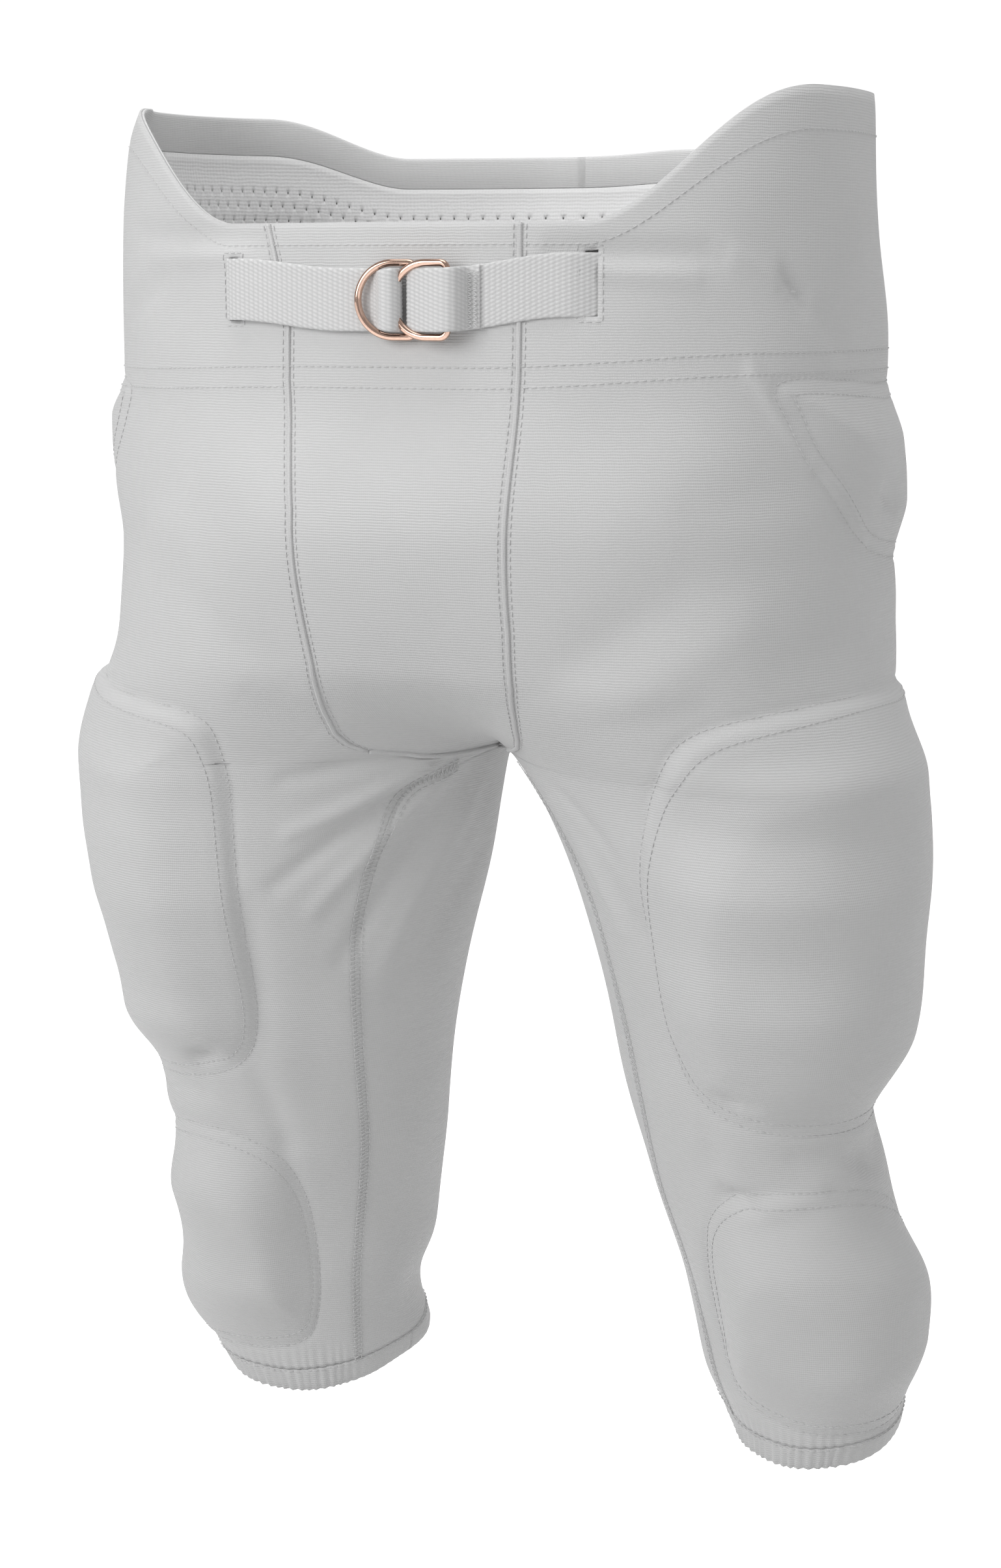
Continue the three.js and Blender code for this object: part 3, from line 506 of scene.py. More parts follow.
SEAM_PINCH, SEAM_EASE, RIM_PINCH, RIM_EASE = 0.3, 2.2, 0.4, 2.0


def seam_pinch(share, width, row):
    """The knit is drawn down beside its seams and its rim, fading within a few millimetres."""
    d = np.minimum(share, 1 - share) * width[:, None]
    return -SEAM_PINCH * np.exp(-(d / SEAM_EASE) ** 2) - RIM_PINCH * np.exp(-(row / RIM_EASE) ** 2)


def add_mesh(name, points, faces, uv=None):
    """A mesh object from points in millimetres, faces as index rows and a uv for each point."""
    faces = np.asarray(faces, np.int32)
    sides = faces.shape[1]
    mesh = bpy.data.meshes.new(name)
    mesh.vertices.add(len(points))
    mesh.vertices.foreach_set("co", (np.asarray(points) * MM).astype(np.float32).ravel())
    mesh.loops.add(faces.size)
    mesh.loops.foreach_set("vertex_index", faces.ravel())
    mesh.polygons.add(len(faces))
    mesh.polygons.foreach_set("loop_start", np.arange(0, faces.size, sides, dtype=np.int32))
    mesh.polygons.foreach_set("use_smooth", np.ones(len(faces), bool))
    if uv is not None:
        layer = mesh.uv_layers.new(name="cloth")
        layer.data.foreach_set("uv", (np.asarray(uv)[faces.ravel()] * MM).astype(np.float32).ravel())
    mesh.update(calc_edges=True)
    piece = bpy.data.objects.new(name, mesh)
    bpy.context.scene.collection.objects.link(piece)
    return piece


def grid_quads(rows, columns, ring=False, loop=False):
    """Quads of a grid of points; ring joins its last column to its first, loop its rows."""
    i = np.arange(rows if loop else rows - 1)[:, None]
    j = np.arange(columns if ring else columns - 1)
    down = ((i + 1) % rows) * columns
    a, b = i * columns + j, i * columns + (j + 1) % columns
    return np.stack([a, b, down + (j + 1) % columns, down + j], axis=-1).reshape(-1, 4)


def cloth_uv(grid):
    """Distance along each row from its middle, and height, in millimetres."""
    across = np.linalg.norm(np.diff(grid, axis=1), axis=-1)
    u = np.concatenate([np.zeros((len(grid), 1)), np.cumsum(across, axis=1)], axis=1)
    return np.stack([u - u[:, [u.shape[1] // 2]], grid[..., 2]], axis=-1).reshape(-1, 2)


def edge_walls(quads, size):
    """Quads from a layer's open edges to the same edges of a second layer, size points on."""
    edges = np.stack([quads, np.roll(quads, -1, axis=1)], axis=-1).reshape(-1, 2)
    key = np.sort(edges, axis=1) @ np.array([size, 1])
    _, first, times = np.unique(key, return_index=True, return_counts=True)
    a, b = edges[first[times == 1]].T
    return np.stack([b, a, a + size, b + size], axis=-1)


def slab(name, outer, inner, flip=False, keep=None, uv=None):
    """A closed piece of cloth between two like grids, walled wherever its faces come to an edge."""
    count = outer[..., 0].size
    quads = grid_quads(*outer.shape[:2])
    if keep is not None:
        quads = quads[keep(outer.reshape(-1, 3)[quads].mean(axis=1))]
    if flip:
        quads = quads[:, ::-1]
    if uv is None:
        uv = cloth_uv(outer)
    points = np.concatenate([outer.reshape(-1, 3), inner.reshape(-1, 3)])
    faces = np.concatenate([quads, quads[:, ::-1] + count, edge_walls(quads, count)])
    return add_mesh(name, points, faces, np.concatenate([uv, uv]))


# Knit and every other finish share two node groups: one that turns the cloth's own millimetres
# into ribs, and one that mottles a colour slightly, as handled fabric is, and paints shade into
# the hollows of the ribs.
def group(name, inputs, outputs):
    """A shader node group with float or colour sockets, and its input and output nodes."""
    tree = bpy.data.node_groups.new(name, "ShaderNodeTree")
    for socket, kind in inputs:
        tree.interface.new_socket(socket, in_out="INPUT", socket_type=kind)
    for socket, kind in outputs:
        tree.interface.new_socket(socket, in_out="OUTPUT", socket_type=kind)
    return tree, tree.nodes.new("NodeGroupInput"), tree.nodes.new("NodeGroupOutput")


def math_node(tree, operation, a, b=None):
    """A math node whose inputs are sockets or plain numbers."""
    node = tree.nodes.new("ShaderNodeMath")
    node.operation = operation
    for i, value in enumerate((a, b)):
        if value is None:
            continue
        if isinstance(value, (int, float)):
            node.inputs[i].default_value = value
        else:
            tree.links.new(value, node.inputs[i])
    return node.outputs[0]


FLOAT, COLOUR, VECTOR = "NodeSocketFloat", "NodeSocketColor", "NodeSocketVector"

# Ribs: sine rows along the cloth and columns across it, bent a little by noise, with fuzz.
ribs, ribs_in, ribs_out = group("cloth_ribs", [
    ("Place", VECTOR), ("Row Pitch", FLOAT), ("Column Pitch", FLOAT), ("Column Share", FLOAT),
    ("Fuzz", FLOAT),
], [("Height", FLOAT)])
split = add_node(ribs, "SeparateXYZ")
ribs.links.new(ribs_in.outputs["Place"], split.inputs[0])
wander = add_node(ribs, "TexNoise", Scale=140, Detail=2)
ribs.links.new(ribs_in.outputs["Place"], wander.inputs["Vector"])
waver = math_node(ribs, "MULTIPLY", math_node(ribs, "SUBTRACT", wander.outputs["Fac"], 0.5), 5.0)
waves = []
for axis, pitch in (("Y", "Row Pitch"), ("X", "Column Pitch")):
    rows_along = math_node(ribs, "DIVIDE", split.outputs[axis], ribs_in.outputs[pitch])
    turns = math_node(ribs, "MULTIPLY", rows_along, 2 * math.pi)
    wave = math_node(ribs, "SINE", math_node(ribs, "ADD", turns, waver))
    waves.append(math_node(ribs, "MULTIPLY", math_node(ribs, "ADD", wave, 1.0), 0.5))
columns = math_node(ribs, "MULTIPLY", waves[1], ribs_in.outputs["Column Share"])
fuzz = add_node(ribs, "TexNoise", Scale=2600, Detail=3)
ribs.links.new(ribs_in.outputs["Place"], fuzz.inputs["Vector"])
rough_part = math_node(ribs, "MULTIPLY", fuzz.outputs["Fac"], ribs_in.outputs["Fuzz"])
ribs.links.new(math_node(ribs, "ADD", math_node(ribs, "ADD", waves[0], columns), rough_part),
               ribs_out.inputs["Height"])

# Mottle: two colours mixed by slow noise, with painted shade darkening the hollows of the ribs.
mottle_and_hollow_shade, mottle_in, mottle_out = group("cloth_mottle_and_hollow_shade", [
    ("Place", VECTOR), ("Light", COLOUR), ("Dark", COLOUR), ("Height", FLOAT), ("Hollow Shade", FLOAT),
], [("Color", COLOUR)])
cloud = add_node(mottle_and_hollow_shade, "TexNoise", Scale=26, Detail=5)
mottle_and_hollow_shade.links.new(mottle_in.outputs["Place"], cloud.inputs["Vector"])
blend = add_node(mottle_and_hollow_shade, "Mix", "RGBA")
mottle_and_hollow_shade.links.new(cloud.outputs["Fac"], blend.inputs["Factor"])
mottle_and_hollow_shade.links.new(mottle_in.outputs["Light"], blend.inputs["A"])
mottle_and_hollow_shade.links.new(mottle_in.outputs["Dark"], blend.inputs["B"])
# Painted shade: the colour is multiplied towards a dark grey where the ribs are low, scaled by the finish's
# hollow shade amount.
shade = add_node(mottle_and_hollow_shade, "Mix", "RGBA", B=(0.35, 0.35, 0.36, 1))
shade.blend_type = "MULTIPLY"
lowness = math_node(mottle_and_hollow_shade, "SUBTRACT", 1.0, mottle_in.outputs["Height"])
depth = math_node(mottle_and_hollow_shade, "MULTIPLY", lowness, mottle_in.outputs["Hollow Shade"])
depth.node.use_clamp = True
mottle_and_hollow_shade.links.new(depth, shade.inputs["Factor"])
mottle_and_hollow_shade.links.new(blend.outputs["Result"], shade.inputs["A"])
mottle_and_hollow_shade.links.new(shade.outputs["Result"], mottle_out.inputs["Color"])


def grey(level, warmth=0.0):
    """Linear colour of an sRGB grey level, a little warm or cool."""
    linear = (level / 255) ** 2.2
    return (linear * (1 + warmth), linear, linear * (1 - warmth), 1)


def cloth(name, light, dark, row, column, share, fuzz_amount, hollow_shade, bump, roughness, sheen):
    """A fabric finish: ribs at pitches in millimetres along the cloth's own uv, mottled, with painted shade
    in the ribs' hollows.
    """
    finish = bpy.data.materials.new(name)
    finish.use_nodes = True
    tree = finish.node_tree
    shader = tree.nodes["Principled BSDF"]
    shader.inputs["Roughness"].default_value = roughness
    shader.inputs["Sheen Weight"].default_value = sheen
    shader.inputs["Sheen Roughness"].default_value = 0.4
    shader.inputs["Specular IOR Level"].default_value = 0.35
    place = tree.nodes.new("ShaderNodeUVMap")
    place.uv_map = "cloth"
    weave = tree.nodes.new("ShaderNodeGroup")
    weave.node_tree = ribs
    tree.links.new(place.outputs[0], weave.inputs["Place"])
    for socket, value in (("Row Pitch", row * MM), ("Column Pitch", column * MM), ("Column Share", share),
                          ("Fuzz", fuzz_amount)):
        weave.inputs[socket].default_value = value
    body = tree.nodes.new("ShaderNodeTexCoord")
    paint = tree.nodes.new("ShaderNodeGroup")
    paint.node_tree = mottle_and_hollow_shade
    tree.links.new(body.outputs["Object"], paint.inputs["Place"])
    tree.links.new(weave.outputs["Height"], paint.inputs["Height"])
    paint.inputs["Light"].default_value = light
    paint.inputs["Dark"].default_value = dark
    paint.inputs["Hollow Shade"].default_value = hollow_shade
    tree.links.new(paint.outputs["Color"], shader.inputs["Base Color"])
    relief = tree.nodes.new("ShaderNodeBump")
    relief.inputs["Distance"].default_value = bump * MM
    relief.inputs["Strength"].default_value = 0.6
    tree.links.new(weave.outputs["Height"], relief.inputs["Height"])
    tree.links.new(relief.outputs["Normal"], shader.inputs["Normal"])
    return finish


# Light and dark greys, row and column pitch, the columns' share, fuzz, painted shade in the
# hollows, relief in millimetres, roughness and sheen.
knit_finish = cloth("bright_knit", grey(222), grey(214), 1.15, 0.95, 0.35, 0.8, 0.10, 0.22, 0.62, 0.25)


def dress(piece, finish, body="pants", replaces=None):
    """Gives a piece its finish, rides it on its body and hides its CAD node."""
    piece.data.materials.clear()
    piece.data.materials.append(finish)
    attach(piece, body)
    if replaces:
        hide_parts(replaces)
    return piece


# Double rows of stitching, as closed paths of angles and heights on each side, run round
# every pocket. Their grooves pull the knit in.
ROWS_APART = 6.2
for (side, kind), outline in POCKETS.items():
    STITCHED[side] += [outline, beside(outline, -ROWS_APART)]

# The belt comes out of the shell through an upright slot on each side: middle, half sizes.
SLOT = {LEFT: (81.0, -24.5), RIGHT: (-76.0, -27.0)}
SLOT_HALF_WIDE, SLOT_HALF_HIGH = 2.8, 12.6


def off_slots(middle):
    """False for faces inside either belt slot at the front."""
    aside = np.ones(len(middle), bool)
    for x, z in SLOT.values():
        aside &= ~((np.abs(middle[:, 0] - x) < SLOT_HALF_WIDE) & (np.abs(middle[:, 2] - z) < SLOT_HALF_HIGH)
                   & (middle[:, 1] < 0))
    return aside


def eased(values):
    """An edge's angles smoothed over about 12 mm of height, for the columns away from it."""
    weight = np.exp(-((ROWS[:, None] - ROWS) / 12) ** 2) * np.gradient(-ROWS)
    return weight @ values / weight.sum(axis=1)


def panel(name, side, start, end, keep=None):
    """One leg panel between two edge angles, given for each row, from the rim to the hem band."""
    first, last = start(ROWS), end(ROWS)
    width = np.radians(np.abs(last - first)) * (along(ROWS, 3) + along(ROWS, 4)) / 2
    share = seam_shares(width, int(np.percentile(width, 90) / STEP))
    soft_first, soft_last = eased(first), eased(last)
    angle = (soft_first[:, None] + (soft_last - soft_first)[:, None] * share
             + (first - soft_first)[:, None] * (1 - share) ** 5 + (last - soft_last)[:, None] * share ** 5)
    row = np.broadcast_to(ROWS[:, None], angle.shape)
    z = row_height(side, row, angle)
    pinch = seam_pinch(share, width, row)
    outer = knit_point(side, angle, z, pinch)
    inner = knit_point(side, angle, z, pinch - KNIT)
    if start is back_middle:
        outer[ROWS > CROTCH, 0, 0] = inner[ROWS > CROTCH, 0, 0] = 0
    forward = (last[0] > first[0]) == (side == LEFT)
    piece = slab(name, outer, inner, flip=not forward, keep=keep)
    dress(piece, knit_finish, replaces=name)
    return piece


for side, word in ((LEFT, "left"), (RIGHT, "right")):
    panel(f"front_panel_{word}", side, outseam, lambda z, s=side: front_edge(s, z), keep=off_slots)
    panel(f"back_panel_{word}", side, back_middle, outseam)

# The gusset is laid out across the front instead, from one seam to the other.
gusset_rows = ROWS[ROWS > -233.4]
low, high = -gusset_half[RIGHT](gusset_rows), gusset_half[LEFT](gusset_rows)
share = seam_shares(high - low, 52)
x = low[:, None] + (high - low)[:, None] * share
gusset_side = np.where(x < 0, RIGHT, LEFT)
z = np.broadcast_to(gusset_rows[:, None], x.shape)
angle = angle_at(x, z)
pinch = seam_pinch(share, high - low, z)
outer = knit_point(gusset_side, angle, z, pinch)
front_gusset = slab("front_gusset", outer, knit_point(gusset_side, angle, z, pinch - KNIT), flip=True)
dress(front_gusset, knit_finish, replaces="front_gusset")


# --- Seams and stitching --------------------------------------------------------------------
# The gusset's two seams are corded: a thin piping is rolled in, with a needle line each side.
# Pockets are sewn through with double rows, and the inseams with a flat coverstitch.
thread_finish = bpy.data.materials.new("sewing_thread")
thread_finish.use_nodes = True
thread_shader = thread_finish.node_tree.nodes["Principled BSDF"]
thread_shader.inputs["Roughness"].default_value = 0.5
thread_shader.inputs["Sheen Weight"].default_value = 0.2
thread_place = thread_finish.node_tree.nodes.new("ShaderNodeTexCoord")
thread_paint = thread_finish.node_tree.nodes.new("ShaderNodeGroup")
thread_paint.node_tree = mottle_and_hollow_shade
thread_paint.inputs["Light"].default_value = grey(226)
thread_paint.inputs["Dark"].default_value = grey(206)
thread_finish.node_tree.links.new(thread_place.outputs["Object"], thread_paint.inputs["Place"])
thread_finish.node_tree.links.new(thread_paint.outputs["Color"], thread_shader.inputs["Base Color"])

STITCH, STITCH_GAP, THREAD = 2.5, 0.9, 0.24


def framed(points, normals):
    """Unit tangents of a line of points, and the sideways direction at each."""
    t = np.gradient(points, axis=0)
    t /= np.linalg.norm(t, axis=1, keepdims=True) + 1e-12
    side = np.cross(normals, t)
    return t, side / (np.linalg.norm(side, axis=1, keepdims=True) + 1e-12)


def even_points(points, spacing):
    """Places at equal spacing along a line of points, as shares of its index."""
    run = np.concatenate([[0], np.cumsum(np.linalg.norm(np.diff(points, axis=0), axis=1))])
    return np.interp(np.arange(spacing / 2, run[-1], spacing), run, np.arange(len(run)))


def pick(values, index):
    """Rows of an array at fractional indices, by straight lines."""
    low = np.clip(np.floor(index).astype(int), 0, len(values) - 2)
    return values[low] + (values[low + 1] - values[low]) * (index - low)[:, None]


def stitch_mesh(lines, length=STITCH, gap=STITCH_GAP, thread=THREAD, slant=0.0):
    """Points and quads of stitches along lines: each is four rings of four points, bellied."""
    along_it = np.array([-0.5, -0.3, 0.3, 0.5]) * length
    belly = np.array([0.35, 1.0, 1.0, 0.35]) * thread
    sink = np.array([-0.9, 0.0, 0.0, -0.9]) * thread
    turn = np.radians([45, 135, 225, 315])
    points, quads, start = [], [], 0
    for line, normals in lines:
        index = even_points(line, length + gap)
        if not len(index):
            continue
        t, side = framed(line, normals)
        centre, t, side, n = (pick(v, index) for v in (line, t, side, normals))
        swing = slant * np.where(np.arange(len(index)) % 2, 1, -1)[:, None]
        t, side = t * np.cos(swing) + side * np.sin(swing), side * np.cos(swing) - t * np.sin(swing)
        ring = (centre[:, None, None] + t[:, None, None] * along_it[None, :, None, None]
                + side[:, None, None] * (belly[:, None] * np.cos(turn))[None, :, :, None]
                + n[:, None, None] * (sink[:, None] + belly[:, None] * np.sin(turn))[None, :, :, None])
        points.append(ring.reshape(-1, 3))
        one = np.concatenate([grid_quads(4, 4, ring=True)[:, ::-1], [[0, 1, 2, 3]], [[15, 14, 13, 12]]])
        quads.append((one[None] + (start + 16 * np.arange(len(index)))[:, None, None]).reshape(-1, 4))
        start += 16 * len(index)
    return np.concatenate(points), np.concatenate(quads)


def on_knit(side, path, out):
    """A path of angles and heights laid on the shell: its points and the surface's normals."""
    points = knit_point(side, path[:, 0], path[:, 1], out)
    normals = skin_normal(*skin_point(path[:, 0], path[:, 1]), path[:, 1])
    normals[:, 0] *= side
    return points, normals


def across_front(x, z):
    """Sides and a path of angles and heights for points across the front."""
    return np.where(x < 0, RIGHT, LEFT), np.stack([angle_at(x, z), z], axis=1)


def sewn(name, lines, **kind):
    """A piece of stitching along several lines, in thread."""
    points, quads = stitch_mesh(lines, **kind)
    return dress(add_mesh(name, points, quads), thread_finish)


def tube(name, line, normals, radius, sides=10, closed=False):
    """A round cord of one radius along a line of points, closed on itself or with flat ends."""
    t, across = framed(line, normals)
    if closed:
        t = np.roll(line, -1, axis=0) - np.roll(line, 1, axis=0)
        t /= np.linalg.norm(t, axis=1, keepdims=True)
        across = np.cross(normals, t)
        across /= np.linalg.norm(across, axis=1, keepdims=True)
    up = np.cross(t, across)
    turn = np.linspace(0, 2 * math.pi, sides, endpoint=False)
    ring = (line[:, None] + radius * (across[:, None] * np.cos(turn)[None, :, None]
                                      + up[:, None] * np.sin(turn)[None, :, None]))
    quads = grid_quads(len(line), sides, ring=True, loop=closed)[:, ::-1]
    points = ring.reshape(-1, 3)
    run = np.concatenate([[0], np.cumsum(np.linalg.norm(np.diff(line, axis=0), axis=1))])
    uv = np.stack(np.broadcast_arrays(run[:, None], turn[None] * radius), axis=-1).reshape(-1, 2)
    if not closed:
        caps = []
        for base, flip in ((0, False), ((len(line) - 1) * sides, True)):
            order = base + np.arange(sides)
            for k in range(1, sides - 1, 2):
                cap = [order[0], order[k], order[k + 1], order[(k + 2) % sides]]
                caps.append(cap[::-1] if flip else cap)
        quads = np.concatenate([quads, caps])
    return add_mesh(name, points, quads, uv)


CORD, NEEDLES_APART = 1.05, 2.6
for side, word in ((LEFT, "left"), (RIGHT, "right")):
    z = np.arange(-0.5, -229 if side == LEFT else -228, -1.0)
    x = gusset_half[side](z)
    path = np.stack([angle_at(x, z), z], axis=1)
    line, normals = on_knit(side, path, 0.0)
    dress(tube(f"gusset_seam_cord_{word}", line, normals, CORD), knit_finish)
    needle = [on_knit(side, np.stack([angle_at(x + off, z), z], axis=1), 0.15)
              for off in (-NEEDLES_APART, NEEDLES_APART)]
    sewn(f"gusset_seam_stitching_{word}", needle)

bottom_x = np.linspace(-gusset_half[RIGHT](-228), gusset_half[LEFT](-228), 60)
bottom_z = np.interp(bottom_x, [-39, -29, -15, 0, 12, 18], [-228, -230.6, -232.6, -232.4, -229.6, -228])
bottom_side, bottom_path = across_front(bottom_x, bottom_z)
line, normals = on_knit(bottom_side, bottom_path, 0.15)
dress(tube("gusset_seam_cord_bottom", line, normals, CORD), knit_finish)

for side, word in ((LEFT, "left"), (RIGHT, "right")):
    sewn(f"pocket_stitching_{word}", [on_knit(side, path, 0.3) for path in STITCHED[side]])
    z = np.arange(-238, -556, -1.5)
    inner = np.stack([inseam(z), z], axis=1)
    sewn(f"inseam_needle_lines_{word}", [on_knit(side, beside(inner, off), 0.45) for off in (-2.9, 2.9)])
    sewn(f"inseam_coverstitch_{word}", [on_knit(side, inner, 0.45)],
         length=5.6, gap=-4.5, thread=0.16, slant=1.25)
    z = np.arange(-4, -556, -2.0)
    behind = np.stack([outseam(z), z], axis=1)
    behind[:, 1] = row_height(side, z, behind[:, 0])
    sewn(f"outseam_needle_lines_{word}",
         [on_knit(side, beside(behind, off), 0.35) for off in (-NEEDLES_APART, NEEDLES_APART)])

# The belt tunnel is closed by two needle lines right round the waist, and the rim by one.
TUNNEL_ROWS, RIM_ROW = (-58.0, -66.4), -9.0


def round_waist(row, count, out, lower=lambda side, angle: 0.0):
    """A line round the waist at one row: left half from back to front, then the right half."""
    lines = []
    for side in (LEFT, RIGHT):
        angle = np.linspace(back_middle(row), angle_at(0, row), count)
        z = row_height(side, np.full(count, row), angle) + lower(side, angle)
        part = on_knit(side, np.stack([angle, z], axis=1), out)
        lines.append(part if side == LEFT else (part[0][::-1], part[1][::-1]))
    return [np.concatenate(pair) for pair in zip(*lines)]


def tunnel_dip(side, angle):
    """The tunnel line rises to the wearer's left hip and sinks to the right one."""
    return (6.0 if side == LEFT else -3.0) * smooth((112 - np.abs(angle)) / 70)


sewn("tunnel_stitching", [round_waist(row, 260, 0.25, tunnel_dip) for row in TUNNEL_ROWS])
sewn("rim_stitching", [round_waist(RIM_ROW, 260, 0.25)])
back_z = np.arange(28, -233, -2.0)
back_path = np.stack([angle_at(0, back_z, front=False), back_z], axis=1)
sewn("centre_back_stitching", [on_knit(side, beside(back_path, 2.4 * way), 0.3)
                               for side, way in ((LEFT, 1), (RIGHT, 1))])

# --- Hems -----------------------------------------------------------------------------------
# Each hem is the knit turned up on itself round an elastic ring, which gathers it into small
# ribs. The band is one closed ring of cloth with a U section, open at the top inside.
HEM_ROW = LEG_END + HEM_HEIGHT
hem_profile = [
    (-0.1, HEM_ROW - 0.4), (0.35, HEM_ROW - 1.6), (0.1, HEM_ROW - 4), (0.2, HEM_ROW - 8),
    (0.0, LEG_END + 1.6), (-0.55, LEG_END + 0.5), (-1.6, LEG_END), (-2.5, LEG_END + 0.1),
    (-3.4, LEG_END + 0.7), (-3.9, LEG_END + 1.9), (-3.9, HEM_ROW - 4), (-3.9, HEM_ROW - 0.6),
    (-2.75, HEM_ROW - 0.6), (-2.7, HEM_ROW - 4), (-2.7, LEG_END + 2.2), (-2.0, LEG_END + 1.25),
    (-1.3, LEG_END + 2.0), (-1.2, HEM_ROW - 4), (-1.15, HEM_ROW - 0.4),
]


def closed_ring(name, grid, flip):
    """A ring-shaped piece from a closed grid, with distance along it and height as its uv."""
    across = np.linalg.norm(np.diff(grid, axis=1), axis=-1).cumsum(axis=1)
    u = np.concatenate([np.zeros((len(grid), 1)), across], axis=1)
    uv = np.stack([u, grid[..., 2]], axis=-1).reshape(-1, 2)
    quads = grid_quads(*grid.shape[:2], ring=True, loop=True)
    return add_mesh(name, grid.reshape(-1, 3), quads[:, ::-1] if flip else quads, uv)


def ring_of_cloth(name, side, profile, columns=230):
    """A closed ring round a leg: a closed profile of (depth, row) carried round its angles."""
    depth, row = np.array(profile, float).T
    angle = np.linspace(-180, 180, columns, endpoint=False)
    a, r = np.meshgrid(angle, row)
    grid = knit_point(side, a, row_height(side, r, a), np.broadcast_to(depth[:, None], a.shape))
    return closed_ring(name, grid, flip=side == RIGHT)


tape_finish = cloth("elastic_tape", grey(236), grey(228), 0.8, 2.2, 0.4, 0.3, 0.08, 0.12, 0.6, 0.15)
for side, word in ((LEFT, "left"), (RIGHT, "right")):
    band = ring_of_cloth(f"hem_band_{word}", side, hem_profile)
    dress(band, knit_finish, replaces=f"hem_band_{word}")
    elastic = ring_of_cloth(f"hem_elastic_{word}", side, [
        (-1.55, HEM_ROW - 2), (-1.55, LEG_END + 3), (-1.95, LEG_END + 2.6), (-2.35, LEG_END + 3),
        (-2.35, HEM_ROW - 2), (-1.95, HEM_ROW - 1.6)])
    dress(elastic, tape_finish, replaces=f"hem_elastic_{word}")
    z = np.full(240, HEM_ROW - 1.0)
    angle = np.linspace(-180, 180, 240)
    line = on_knit(side, np.stack([angle, row_height(side, z, angle)], axis=1), 0.55)
    sewn(f"hem_stitching_{word}", [line])

# --- Waist, inside --------------------------------------------------------------------------
# Behind the shell a facing closes the belt tunnel at the front and a perforated mesh lining
# at the back; an elastic strip is sewn along the top edge over both.
def waist_columns(row, angles):
    """Sides and angles round the waist at each row, from shares 0 (back) to 2 (back again)."""
    row, share = np.broadcast_arrays(np.asarray(row, float), angles)
    side = np.where(share <= 1, LEFT, RIGHT)
    half = np.where(share <= 1, share, 2 - share)
    behind, front = back_middle(row), angle_at(0, row)
    return side, behind + (front - behind) * half


# How deep the facing lies behind the shell at a row: sewn in at both edges, free between.
facing_depth = table([(0, -2.3), (-10, -2.5), (-13, -3.0), (-18, -5.0), (-23, -6.3), (-48, -6.3),
                      (-56, -4.6), (-62, -2.0)])
FACING, LINING, SIDE_SHARE = 0.9, 0.6, 0.60
facing_rows = np.arange(-9.1, -62.5, -2.2)
share = np.linspace(SIDE_SHARE, 2 - SIDE_SHARE, 190)[None, :]
row = np.broadcast_to(facing_rows[:, None], (len(facing_rows), share.size))
side, angle = waist_columns(row, share)
z = row_height(side, row, angle)
outer = knit_point(side, angle, z, facing_depth(row))
inner = knit_point(side, angle, z, facing_depth(row) - FACING)
facing = slab("tunnel_facing_front", outer, inner)
dress(facing, knit_finish, replaces="tunnel_facing_front")

# The lining is real mesh: every other cell of the cloth, away from its top and bottom edges, is eight quads
# round an open hole; the others are shut.
HOLE_PITCH, HOLE, HOLE_TALL = 3.5, 0.14, 1.35
lining_rows = np.arange(-9.1, -62.6, -HOLE_PITCH / 2)
lining_rows = lining_rows[:2 * (len(lining_rows) // 2) + 1]
back_turn = 2 * SIDE_SHARE - 0.004
cells_wide = 2 * int(560 / HOLE_PITCH / 2) + 1
shares = (2 - SIDE_SHARE + 0.002 + np.linspace(0, back_turn, 2 * cells_wide + 1)) % 2
row, share = np.meshgrid(lining_rows, shares, indexing="ij")
side, angle = waist_columns(row, share)
z = row_height(side, row, angle)
layers = [knit_point(side, angle, z, facing_depth(row) - low) for low in (0.0, LINING)]
holes_down, holes_across = (len(lining_rows) - 1) // 2, (len(shares) - 1) // 2
i, j = np.meshgrid(np.arange(holes_down), np.arange(holes_across), indexing="ij")
base = (2 * i * len(shares) + 2 * j).ravel()
step_down = len(shares)
corner = np.array([0, 1, 2, 2 + step_down, 2 + 2 * step_down, 1 + 2 * step_down, 2 * step_down, step_down])
cell_rim = base[:, None] + corner
punched = ((i + j) % 2 == 0).ravel() & (i > 1).ravel() & (i < holes_down - 1).ravel()
points = []
grid_count = row.size
for layer in layers:
    flat = layer.reshape(-1, 3)
    middle = flat[base + 1 + step_down]
    size = (HOLE * np.array([1, HOLE_TALL] * 4))[None, :, None]
    hole = middle[:, None] + (flat[cell_rim] - middle[:, None]) * size
    points += [flat, hole.reshape(-1, 3)]
layer_size = grid_count + 8 * len(base)
hole_index = grid_count + 8 * np.arange(len(base))[:, None] + np.arange(8)
after = np.roll(np.arange(8), -1)
open_cells = np.stack([cell_rim, cell_rim[:, after], hole_index[:, after], hole_index], axis=-1)
open_cells = open_cells[punched].reshape(-1, 4)
shut = cell_rim[~punched]
centre_index = (base + 1 + step_down)[~punched]
shut_cells = np.concatenate([
    np.stack([shut[:, (k - 1) % 8], shut[:, k], shut[:, k + 1], centre_index], axis=-1)
    for k in (0, 2, 4, 6)])
sheet_quads = np.concatenate([open_cells, shut_cells])
lining_uv = np.zeros((2 * layer_size, 2))
all_points = np.concatenate(points)
lining_uv[:, 0] = np.arctan2(all_points[:, 1], all_points[:, 0]) * 140
lining_uv[:, 1] = all_points[:, 2]
# The lining's greys are paler than the shell's: partly the mesh's own pale colour, partly painted light that
# lifts the shade inside the waist.
mesh_finish = cloth("mesh_lining", grey(246), grey(238), 1.7, 1.7, 0.8, 0.4, 0.1, 0.15, 0.75, 0.15)
lining = add_mesh("waist_lining_back", all_points,
                  np.concatenate([sheet_quads, sheet_quads[:, ::-1] + layer_size,
                                  edge_walls(sheet_quads, layer_size)]), lining_uv)
dress(lining, mesh_finish, replaces="waist_lining_back")

